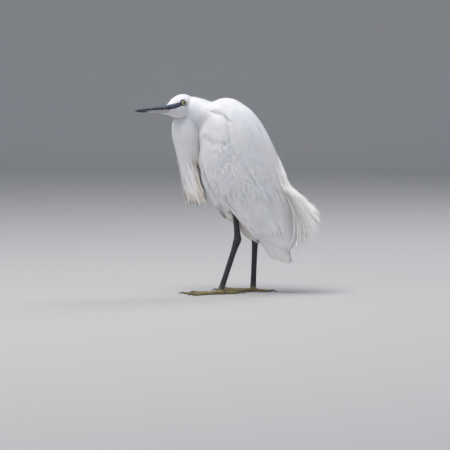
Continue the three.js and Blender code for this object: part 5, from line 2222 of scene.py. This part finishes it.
@dataclass
class Bill:
    """The dagger bill in two halves, with nostril grooves and cutting edges."""

    finish: bpy.types.Material
    gap: float = 0.3
    around: int = 40
    along: int = 90

    def half(self, hand: int) -> bmesh.types.BMesh:
        """Shapes one half; hand is 1 for the upper and -1 for the lower.

        Args:
            hand: 1 for the upper half, -1 for the lower.

        Returns:
            The form, in metres.
        """

        def place(angle: Array, share: Array) -> Array:
            """Places one point of it.

            Args:
                angle: Angles round it in radians.
                share: Shares from end to end.

            Returns:
                Places in millimetres.
            """
            at = BILL[0][0] + (1 - BILL[0][0]) * share
            ridge, mouth, keel, width = np.moveaxis(table_at(BILL, at), -1, 0)
            far = ridge if hand > 0 else keel
            near = mouth + hand * self.gap / 2
            inside = (share > END) & (share < 1 - END)
            rise = np.maximum(0, np.cos(angle)) ** 0.8
            lip = np.maximum(0, -np.cos(angle)) ** 0.6 * 0.12
            up = near + (far - near) * rise * inside + hand * lip
            side = width * np.sin(angle) * inside
            level = (up - near) / np.where(np.abs(far - near) > 0.1, far - near, 1)
            if hand > 0:
                groove = np.exp(-(((level - 0.52) / 0.13) ** 2)) * smooth_step(0.0, 0.03, at)
                slit = np.exp(-(((level - 0.5) / 0.08) ** 2)) * np.exp(-(((at - 0.145) / 0.04) ** 4))
                side = side * (1 - 0.14 * groove * smooth_step(0.5, 0.3, at) - 0.28 * slit)
            else:
                groove = np.exp(-(((level - 0.6) / 0.16) ** 2)) * smooth_step(0.02, 0.1, at)
                side = side * (1 - 0.1 * groove * smooth_step(0.75, 0.45, at))
            side = side * (1 + 0.05 * np.exp(-((level / 0.12) ** 2)))
            end = share > 1 - END
            forwards = HeadFrame.bill_base + at * HeadFrame.bill_length + 0.8 * end
            return HeadFrame.to_bird(np.stack([forwards, side, np.where(end, (far + near) / 2, up)], -1))

        return wrapped(self.around, self.along, place)

    def colours(self, mesh: bpy.types.Mesh, hand: int) -> Array:
        """Colours one half: slate and black above with a painted blue highlight along the ridge, pale along the base
        of the lower one.

        Args:
            mesh: The mesh of the half.
            hand: 1 for the upper half, -1 for the lower.

        Returns:
            A colour for each point.
        """
        places = HeadFrame.from_bird(millimetres(mesh_points(mesh)))
        at = (places[:, 0] - HeadFrame.bill_base) / HeadFrame.bill_length
        ridge, mouth, keel, _ = np.moveaxis(table_at(BILL, at), -1, 0)
        uneven = ripple(places, 7, 61)
        if hand > 0:
            level = np.clip((places[:, 2] - mouth) / np.maximum(ridge - mouth, 0.4), 0, 1)
            base = smooth_step(0.5, 0.0, at)
            colour = laid_over(BLACK, SLATE, smooth_step(0.95, 0.2, at))
            # Painted highlight: a blue band along the ridge, stronger towards the base, stands in for the lamps'
            # sheen on top of the bill; the upper sides near the base are also laid over with blue.
            highlight_and_base_blue = smooth_step(0.55, 0.95, level) * (0.25 + 0.6 * base) + 0.35 * base * smooth_step(0.2, 0.5, level)
            colour = laid_over(colour, BLUE, np.clip(highlight_and_base_blue + 0.08 * uneven, 0, 0.9))
            slit = np.exp(-(((level - 0.5) / 0.12) ** 2)) * np.exp(-(((at - 0.145) / 0.05) ** 4))
            return colour * (1 - 0.85 * slit[:, None])
        level = np.clip((mouth - places[:, 2]) / np.maximum(mouth - keel, 0.4), 0, 1)
        reach = smooth_step(0.72, 0.56, at + 0.03 * uneven)
        colour = laid_over(PALE, PINK, smooth_step(0.35, 0.05, at))
        lit = reach * smooth_step(0.06, 0.22, level)
        return BLACK * 1.4 + (colour - BLACK) * lit[:, None]

    def build(self) -> list[bpy.types.Object]:
        """Builds both halves.

        Returns:
            The pieces.
        """
        made = []
        for hand, name, slot in ((1, "bill_upper", Slot.BILL), (-1, "bill_lower", Slot.BILL_PALE)):
            mesh = to_mesh(f"{name}_horn", self.half(hand))
            set_point_colour(mesh, "tint", self.colours(mesh, hand))
            made.append(link_piece(f"{name}_horn", mesh, self.finish, slot, [name]))
        return made


@dataclass
class Eye:
    """One eyeball in its ring of lids."""

    side: Side
    finish: bpy.types.Material
    lid_finish: bpy.types.Material
    radius: float = 6.5
    opening: float = 4.75
    lid: float = 0.6
    stand: float = 4.55
    gaze: tuple[float, float, float] = (0.24, 1.0, 0.17)

    def centre(self) -> Array:
        """Gives the eyeball's centre in the head's directions."""
        return EYE_PLACE * (1, self.side.value, 1)

    def ball(self) -> bpy.types.Object:
        """Builds the eyeball with a slightly bulging cornea.

        Returns:
            The piece.
        """
        form = bmesh.new()
        bmesh.ops.create_uvsphere(form, u_segments=72, v_segments=48, radius=1.0)
        look = unit(np.array(self.gaze) * (1, self.side.value, 1))
        turn = Vector((0, 0, 1)).rotation_difference(Vector(look)).to_matrix()
        bmesh.ops.rotate(form, verts=form.verts, cent=(0, 0, 0), matrix=turn)
        sphere = form_points(form)
        angle = np.arccos(np.clip(sphere @ look, -1, 1))
        cornea = 0.22 * smooth_step(0.6, 0.0, angle)
        places = sphere * (self.radius + cornea)[:, None] + self.centre()
        move_points(form, metres(HeadFrame.to_bird(places)))
        mesh = to_mesh(f"eyeball_{self.side.word}", smoothed(form))
        polar = mesh.attributes.new("polar", "FLOAT", "POINT")
        polar.data.foreach_set("value", angle / math.pi)
        return link_piece(f"eyeball_{self.side.word}", mesh, self.finish, Slot.EYE, [f"eye_{self.side.word}"])

    def lids(self) -> bpy.types.Object:
        """Builds the ring of lids, drawn to a slight point at its front corner.

        Returns:
            The piece.
        """
        form = bmesh.new()
        rim, rise = (self.opening, 0, 0), Matrix.Rotation(math.pi / 2, 3, "X")
        made = bmesh.ops.create_circle(form, segments=16, radius=self.lid)
        bmesh.ops.translate(form, verts=made["verts"], vec=rim)
        bmesh.ops.rotate(form, verts=made["verts"], cent=rim, matrix=rise)
        ring = form.verts[:] + form.edges[:]
        turn = {"cent": (0, 0, 0), "axis": (0, 0, 1), "angle": 2 * math.pi, "use_merge": True}
        bmesh.ops.spin(form, geom=ring, steps=72, **turn)
        bmesh.ops.remove_doubles(form, verts=form.verts, dist=1e-4)
        look = unit(np.array(EYE_OPENING) * (1, self.side.value, 1))
        forward = unit(np.array([1.0, 0, 0]) - look * look[0])
        upward = np.cross(look, forward) * (1 if self.side is Side.RIGHT else -1)
        upward = upward * np.sign(upward[2])
        flat = form_points(form)
        turn = np.arctan2(flat[:, 1], flat[:, 0])
        out = np.hypot(flat[:, 0], flat[:, 1]) - self.opening
        corner = np.exp(-((turn / 0.3) ** 2))
        back = np.exp(-(((np.abs(turn) - math.pi) / 0.3) ** 2))
        brow = np.maximum(np.sin(turn + 0.25), 0) ** 2
        reach = self.opening + 0.9 * corner + 0.35 * back - 0.12 * np.cos(2 * turn - math.pi) - 0.4 * brow
        wrinkle = 0.07 * np.sin(26 * turn) * smooth_step(0, 0.6, out)
        size = reach + out * (1 + 0.25 * smooth_step(0, 0.7, out)) + wrinkle
        height = flat[:, 2] * 0.85 + self.stand - 0.45 * (corner + back)
        height = height - 0.7 * (1 - brow) * smooth_step(0, 0.7, out) + 0.3 * brow
        places = self.centre() + forward * (size * np.cos(turn))[:, None]
        places = places + upward * (size * np.sin(turn) * 0.94)[:, None] + look * height[:, None]
        move_points(form, metres(HeadFrame.to_bird(places)))
        mesh = to_mesh(f"lids_{self.side.word}", smoothed(form))
        inner, outer = np.array([0.01, 0.01, 0.013]), np.array([0.05, 0.056, 0.075])
        set_point_colour(mesh, "tint", laid_over(inner, outer, smooth_step(-0.35, 0.35, out)))
        return link_piece(f"lids_{self.side.word}", mesh, self.lid_finish, Slot.PLUMAGE)


@dataclass
class Lores:
    """The bare skin from the bill to the eye, with its folds, and the line of the mouth."""

    side: Side
    finish: bpy.types.Material

    def build(self) -> bpy.types.Object:
        """Builds one side as a thin closed sheet.

        Returns:
            The piece.
        """
        form = bmesh.new()
        bmesh.ops.create_grid(form, x_segments=64, y_segments=26, size=0.5)
        flat = form_points(form)
        s, t = flat[:, 0] + 0.5, flat[:, 1] + 0.5
        x = 6.4 + (29.2 - 6.4) * s
        z = value_at(LORE_LOW, x) - 0.5 + (value_at(LORE_HIGH, x) - value_at(LORE_LOW, x) + 1) * t
        wall = head_wall(x, z, self.side.value)
        folds = 0.16 * np.sin(6.5 * t * math.pi + 2.2 * s + 0.7 * np.sin(9 * s)) * smooth_step(0, 0.2, s)
        rim = np.minimum(np.minimum(t, 1 - t) * 6, 1)
        pores = 0.06 * ripple(np.stack([x, z, 0 * x], -1), 1.4, 71)
        out = np.stack([0 * x + 0.15, 0 * x + self.side.value, 0 * x], -1)
        places = wall + out * ((folds + pores) * rim - 0.5 * (1 - rim) - 0.12)[:, None]
        move_points(form, metres(HeadFrame.to_bird(places)))
        bmesh.ops.recalc_face_normals(form, faces=form.faces)
        middle = form.faces[len(form.faces) // 2]
        outwards = Vector(HeadFrame.to_bird([0, self.side.value, 0]) - HeadFrame.to_bird([0, 0, 0]))
        if middle.normal.dot(outwards) < 0:
            bmesh.ops.reverse_faces(form, faces=form.faces)
        bmesh.ops.solidify(form, geom=form.faces[:], thickness=1.0 * MM)
        mesh = to_mesh(f"lores_{self.side.word}", smoothed(form))
        places = HeadFrame.from_bird(millimetres(mesh_points(mesh)))
        low, high = value_at(LORE_LOW, places[:, 0]), value_at(LORE_HIGH, places[:, 0])
        level = (places[:, 2] - low) / (high - low)
        blue, dark, pink = np.array([(0.045, 0.06, 0.1), (0.018, 0.02, 0.03), (0.42, 0.31, 0.37)])
        uneven = ripple(places, 4, 73)
        # Painted highlight: a lighter blue band along the upper part of the lore, towards the bill.
        streak = smooth_step(0.55, 0.75, level) * smooth_step(0.95, 0.8, level) * smooth_step(12, 20, places[:, 0])
        colour = blue * (0.9 + 0.1 * uneven + 0.9 * streak)[:, None]
        x = places[:, 0]
        for other, share in (
            (dark, 0.75 * smooth_step(11, 7.5, x) * smooth_step(0.1, 0.5, level)),
            (pink, 0.8 * smooth_step(0.86, 1.0, level)),
            (dark, 0.8 * smooth_step(0.14, 0.02, level)),
            (dark * 1.6, 0.7 * smooth_step(23, 29, x) * smooth_step(0.95, 0.7, level)),
        ):
            colour = laid_over(colour, other, share)
        set_point_colour(mesh, "tint", np.clip(colour, 0.01, 0.9))
        return link_piece(f"lores_{self.side.word}", mesh, self.finish, Slot.PLUMAGE)


# Legs and feet


@dataclass(frozen=True)
class ToePlan:
    """One toe: bearing from the middle toe in degrees, length, half thickness, joints and claw length."""

    name: str
    bearing: float
    length: float
    half: float
    joints: int
    claw: float
    bend: float = 1.5


TOES = (
    ToePlan("hallux", 172, 31, 2.5, 1, 13),
    ToePlan("inner", 27, 50, 2.3, 2, 9),
    ToePlan("middle", 0, 63, 2.5, 3, 9.5),
    ToePlan("outer", -29, 56, 2.3, 3, 8.5, -2.5),
)


@dataclass
class Leg:
    """One bare leg: shin, tarsus, pad, toes and claws."""

    plan: LegPlan
    leg_finish: bpy.types.Material
    toe_finish: bpy.types.Material
    claw_finish: bpy.types.Material
    shin_sizes: tuple = ((0, 3.9), (0.4, 4.5), (0.75, 5), (0.92, 6.1), (1, 6.1))
    tarsus_sizes: tuple = ((0, 6.3), (0.09, 6.6), (0.18, 5.6), (0.3, 4.9), (0.75, 4.6), (0.9, 4.9), (1, 5.4))
    pad_radius: float = 6.6

    black = np.array([0.01, 0.011, 0.016])
    slate = np.array([0.03, 0.036, 0.055])
    yellow = np.array([0.42, 0.33, 0.1])
    olive = np.array([0.24, 0.2, 0.08])
    dark = np.array([0.025, 0.024, 0.024])

    def scutes(self, angle: Array, share: Array, length: float, period: float) -> Array:
        """Gives the relief of the plates down the front of a leg in millimetres.

        Args:
            angle: Angles round it in radians.
            share: Shares from end to end.
            length: Length of the part in millimetres.
            period: Height of a plate in millimetres.

        Returns:
            Heights in millimetres.
        """
        front = smooth_step(0.35, 0.85, np.sin(angle))
        wave = (share * length / period) % 1
        plate = smooth_step(0, 0.16, wave) * smooth_step(1.0, 0.82, wave)
        return 0.3 * plate * front + 0.12 * (1 - front) * np.sin(share * length * 3.1) * np.sin(angle * 9)

    def shin(self) -> bpy.types.Object:
        """Builds the bare lower shin.

        Returns:
            The piece.
        """
        plan = self.plan

        def radius(angle: Array, share: Array) -> Array:
            """Gives the radius with its plates."""
            ends = 1 - smooth_step(0.97, 1.0, share) * 0.5
            return (value_at(self.shin_sizes, share) - 0.2) * ends + self.scutes(angle, share, 60, 3.4)

        top = 0.12 if plan.side is Side.LEFT else 0.3
        form = limb([plan.along(top), plan.along(0.65), plan.along(1.05)], radius, 0.78, 36, 130)
        return self.dress("tibia", form, self.leg_finish, Slot.LEG)

    def tarsus(self) -> bpy.types.Object:
        """Builds the tarsus with the swollen ankle.

        Returns:
            The piece.
        """
        plan = self.plan

        def radius(angle: Array, share: Array) -> Array:
            """Gives the radius with its plates.

            Args:
                angle: Angles round it in radians.
                share: Shares from end to end.

            Returns:
                Radii in millimetres.
            """
            ends = 1 - smooth_step(0.05, 0.0, share) * 0.4 - smooth_step(0.97, 1, share) * 0.25
            hollow = 0.3 * np.abs(np.cos(angle)) ** 6 * smooth_step(0.15, 0.3, share) * smooth_step(0.98, 0.85, share)
            plates = self.scutes(angle, share, plan.tarsus_length, 3.9)
            return (value_at(self.tarsus_sizes, share) - 0.2) * ends - hollow + plates

        line = [plan.ankle + (plan.foot - plan.ankle) * s for s in (-0.06, 0.5, 1.0)]
        return self.dress("tarsus", limb(line, radius, 0.76, 36, 220), self.leg_finish, Slot.LEG)

    def pad(self) -> bpy.types.Object:
        """Builds the pad under the tarsus.

        Returns:
            The piece.
        """
        foot = self.plan.foot

        def place(angle: Array, share: Array) -> Array:
            """Places one point of it.

            Args:
                angle: Angles round it in radians.
                share: Shares from end to end.

            Returns:
                Places in millimetres.
            """
            ring = np.sin(math.pi * share) * self.pad_radius
            warts = 0.16 * np.sin(9 * angle + 3 * share) * np.sin(math.pi * share)
            x = foot[0] + (ring + warts) * np.cos(angle)
            y = foot[1] + 0.92 * (ring + warts) * np.sin(angle)
            return np.stack([x, y, np.maximum(4.2 + 5.2 * np.cos(math.pi * (1 - share)), 0)], -1)

        return self.dress("foot_pad", wrapped(48, 32, place), self.toe_finish, Slot.TOE)

    def direction(self, toe: ToePlan) -> Array:
        """Gives the way a toe points over the floor.

        Args:
            toe: Plan of the toe.

        Returns:
            A vector of length one.
        """
        inward = 1 if self.plan.side is Side.LEFT else -1
        turn = math.pi + self.plan.heading - inward * math.radians(toe.bearing)
        return np.array([math.cos(turn), math.sin(turn), 0.0])

    def toe(self, toe: ToePlan) -> bpy.types.Object:
        """Builds one toe with plates on top and pads below.

        Args:
            toe: Plan of the toe.

        Returns:
            The piece.
        """
        ahead = self.direction(toe)
        across = np.array([-ahead[1], ahead[0], 0.0])
        start = np.array([*self.plan.foot[:2], toe.half * 0.9])
        line = [
            start + ahead * 2 + (0, 0, toe.half * 0.6),
            start + ahead * toe.length * 0.4 + across * toe.bend,
            start + ahead * toe.length,
        ]

        def radius(angle: Array, share: Array) -> Array:
            """Gives the radius with pads, joints and plates.

            Args:
                angle: Angles round it in radians.
                share: Shares from end to end.

            Returns:
                Radii in millimetres.
            """
            knuckle = 0.13 * np.cos(2 * math.pi * toe.joints * share + math.pi * toe.joints)
            base = toe.half * (1.12 - 0.34 * share + knuckle)
            upper = smooth_step(0.1, 0.6, np.sin(angle))
            wave = (share * toe.length / 2.3) % 1
            plate = smooth_step(0, 0.2, wave) * smooth_step(1, 0.8, wave)
            under = smooth_step(0.1, 0.6, -np.sin(angle)) * 0.12 * np.abs(np.sin(share * toe.length * 1.9))
            ends = 1 - 0.5 * smooth_step(0.96, 1, share)
            return (base - 0.1) * ends + 0.17 * plate * upper + under

        form = limb(line, radius, 1.0, 24, int(toe.length * 2.4), floor=True)
        return self.dress(f"toe_{toe.name}", form, self.toe_finish, Slot.TOE)

    def claw(self, toe: ToePlan) -> bpy.types.Object:
        """Builds one curved claw.

        Args:
            toe: Plan of the toe.

        Returns:
            The piece.
        """
        ahead = self.direction(toe)
        start = np.array([*self.plan.foot[:2], toe.half * 1.05]) + ahead * (toe.length - 1.5)
        line = [
            start,
            start + ahead * toe.claw * 0.55 + (0, 0, toe.half * 0.25),
            start + ahead * (toe.claw + 1.5) + (0, 0, 0.5 - toe.half * 1.05),
        ]

        def radius(angle: Array, share: Array) -> Array:
            """Gives the radius, with a hollow along the underside."""
            size = toe.half * 0.68 * (1 - share) + 0.35 * share
            return size * (1 - 0.12 * smooth_step(0.5, 1, -np.sin(angle)))

        form = limb(line, radius, 0.9, 20, 30, floor=True)
        return self.dress(f"claw_{toe.name}", form, self.claw_finish, Slot.CLAW)

    def dress(self, part: str, form: bmesh.types.BMesh, finish: bpy.types.Material, slot: Slot) -> bpy.types.Object:
        """Colours a form and puts it in the scene in place of its solid.

        Args:
            part: Name of the solid without its side.
            form: Its shape.
            finish: Its material.
            slot: Its slot.

        Returns:
            The piece.
        """
        node = f"{part}_{self.plan.side.word}"
        name = f"{node}_horn" if slot is Slot.CLAW else f"{node}_skin"
        mesh = to_mesh(name, form)
        places = millimetres(mesh_points(mesh))
        uneven = ripple(places, 9, 81)
        if slot is Slot.LEG:
            colour = laid_over(self.black, self.slate, np.clip(0.4 + 0.4 * uneven, 0, 1))
            colour = laid_over(colour, self.olive, 0.7 * smooth_step(20, 6, places[:, 2]))
        elif slot is Slot.TOE:
            colour = laid_over(self.yellow, self.olive, np.clip(0.35 + 0.45 * uneven, 0, 1))
            colour = laid_over(colour, self.dark, 0.25 * smooth_step(7, 10, places[:, 2]))
        else:
            colour = np.repeat(self.dark[None], len(places), 0)
        set_point_colour(mesh, "tint", np.clip(colour, 0.005, 0.9))
        return link_piece(name, mesh, finish, slot, [node])

    def build(self) -> list[bpy.types.Object]:
        """Builds the whole leg.

        Returns:
            The pieces.
        """
        made = [self.shin(), self.tarsus(), self.pad()]
        for toe in TOES:
            made += [self.toe(toe), self.claw(toe)]
        return made


# The room


@dataclass(frozen=True)
class Lamp:
    """One soft lamp: place and size in metres, power in watts, colour."""

    name: str
    place: tuple[float, float, float]
    size: float
    power: float
    colour: Colour

    def build(self, aim: Vector) -> None:
        """Adds the lamp, turned towards a point.

        Args:
            aim: The point, in metres.
        """
        data = bpy.data.lights.new(self.name, "AREA")
        data.shape, data.size, data.energy, data.color = "DISK", self.size, self.power, self.colour
        lamp = bpy.data.objects.new(self.name, data)
        lamp.location = self.place
        lamp.rotation_euler = (aim - Vector(self.place)).to_track_quat("-Z", "Y").to_euler()
        bpy.context.scene.collection.objects.link(lamp)


@dataclass
class Studio:
    """Plain sweep, soft light and the camera, in metres and degrees."""

    finish: bpy.types.Material
    half_width: float = 5.5
    wall_from: float = 4.4
    curve: float = 1.2
    wall_top: float = 4.5
    azimuth: float = 5.0
    elevation: float = 4.0
    distance: float = 4.0
    frame_width: float = 0.765
    sensor: float = 36.0
    target: tuple[float, float, float] = (-0.0091, 0.02645, 0.1153)
    aim: tuple[float, float, float] = (0.0, 0.0, 0.18)
    lamps: tuple[Lamp, ...] = (
        Lamp("sky_panel", (-0.6, -0.6, 3.0), 2.0, 74, (1.0, 0.985, 0.96)),
        Lamp("front_panel", (-2.2, -2.4, 1.2), 2.0, 13, (1.0, 0.98, 0.97)),
        Lamp("back_panel", (1.4, 1.6, 2.2), 1.4, 20, (0.97, 0.98, 1.0)),
    )
    air: tuple[float, float, float, float] = (0.76, 0.82, 0.98, 1.0)
    air_strength: float = 0.42

    def sweep(self) -> None:
        """Builds the floor with a wall curving up far behind the bird."""
        form = bmesh.new()
        line = [(-self.half_width, 0), (self.wall_from, 0)]
        for turn in np.linspace(0.1, math.pi / 2, 16):
            line.append((self.wall_from + self.curve * math.sin(turn), self.curve * (1 - math.cos(turn))))
        line.append((self.wall_from + self.curve, self.wall_top))
        verts = [form.verts.new((-self.half_width, y, z)) for y, z in line]
        edges = [form.edges.new(pair) for pair in zip(verts, verts[1:])]
        made = bmesh.ops.extrude_edge_only(form, edges=edges)
        moved = [item for item in made["geom"] if isinstance(item, bmesh.types.BMVert)]
        bmesh.ops.translate(form, verts=moved, vec=(2 * self.half_width, 0, 0))
        bmesh.ops.recalc_face_normals(form, faces=form.faces)
        for face in form.faces:
            face.smooth = True
        mesh = to_mesh("studio_sweep", form)
        mesh.materials.append(self.finish)
        floor = bpy.data.objects.new("studio_sweep", mesh)
        bpy.context.scene.collection.objects.link(floor)

    def camera(self) -> None:
        """Adds the camera at the photo's angle and framing."""
        turn, rise = math.radians(self.azimuth), math.radians(self.elevation)
        away = Vector((math.sin(turn) * math.cos(rise), -math.cos(turn) * math.cos(rise), math.sin(rise)))
        data = bpy.data.cameras.new("camera")
        data.sensor_width = self.sensor
        data.lens = self.sensor * self.distance / self.frame_width
        camera = bpy.data.objects.new("camera", data)
        camera.location = Vector(self.target) + away * self.distance
        camera.rotation_euler = (-away).to_track_quat("-Z", "Y").to_euler()
        bpy.context.scene.collection.objects.link(camera)
        bpy.context.scene.camera = camera

    def build(self) -> None:
        """Builds the room."""
        self.sweep()
        self.camera()
        for lamp in self.lamps:
            lamp.build(Vector(self.aim))
        world = bpy.data.worlds.new("studio_air")
        world.use_nodes = True
        back = world.node_tree.nodes["Background"]
        back.inputs["Color"].default_value = self.air
        back.inputs["Strength"].default_value = self.air_strength
        bpy.context.scene.world = world
        bpy.context.scene.view_settings.view_transform = "Standard"


def main() -> None:
    """Builds every piece of the bird in order, then the room."""
    logging.basicConfig(level=logging.INFO, format="%(name)s %(message)s")
    finishes = Finishes()
    guides = Guides()
    skin = Skin(guides)
    skin.build(finishes.plumage)
    Coat(guides, skin, finishes.plumage).build()
    for side in Side:
        Wing(side, finishes.plumage).build()
    Scapulars(finishes.plumage).build()
    Tail(finishes.plumage).build()
    BackPlumes(finishes.plumes).build()
    BreastPlumes(finishes.plumes).build()
    Bill(finishes.horn).build()
    for side in Side:
        eye = Eye(side, finishes.eye, finishes.bare)
        eye.ball()
        eye.lids()
        Lores(side, finishes.bare).build()
        Leg(LegPlan(side), finishes.leg, finishes.toe, finishes.claw).build()
    Studio(finishes.sweep).build()


if __name__ == "__main__":
    main()
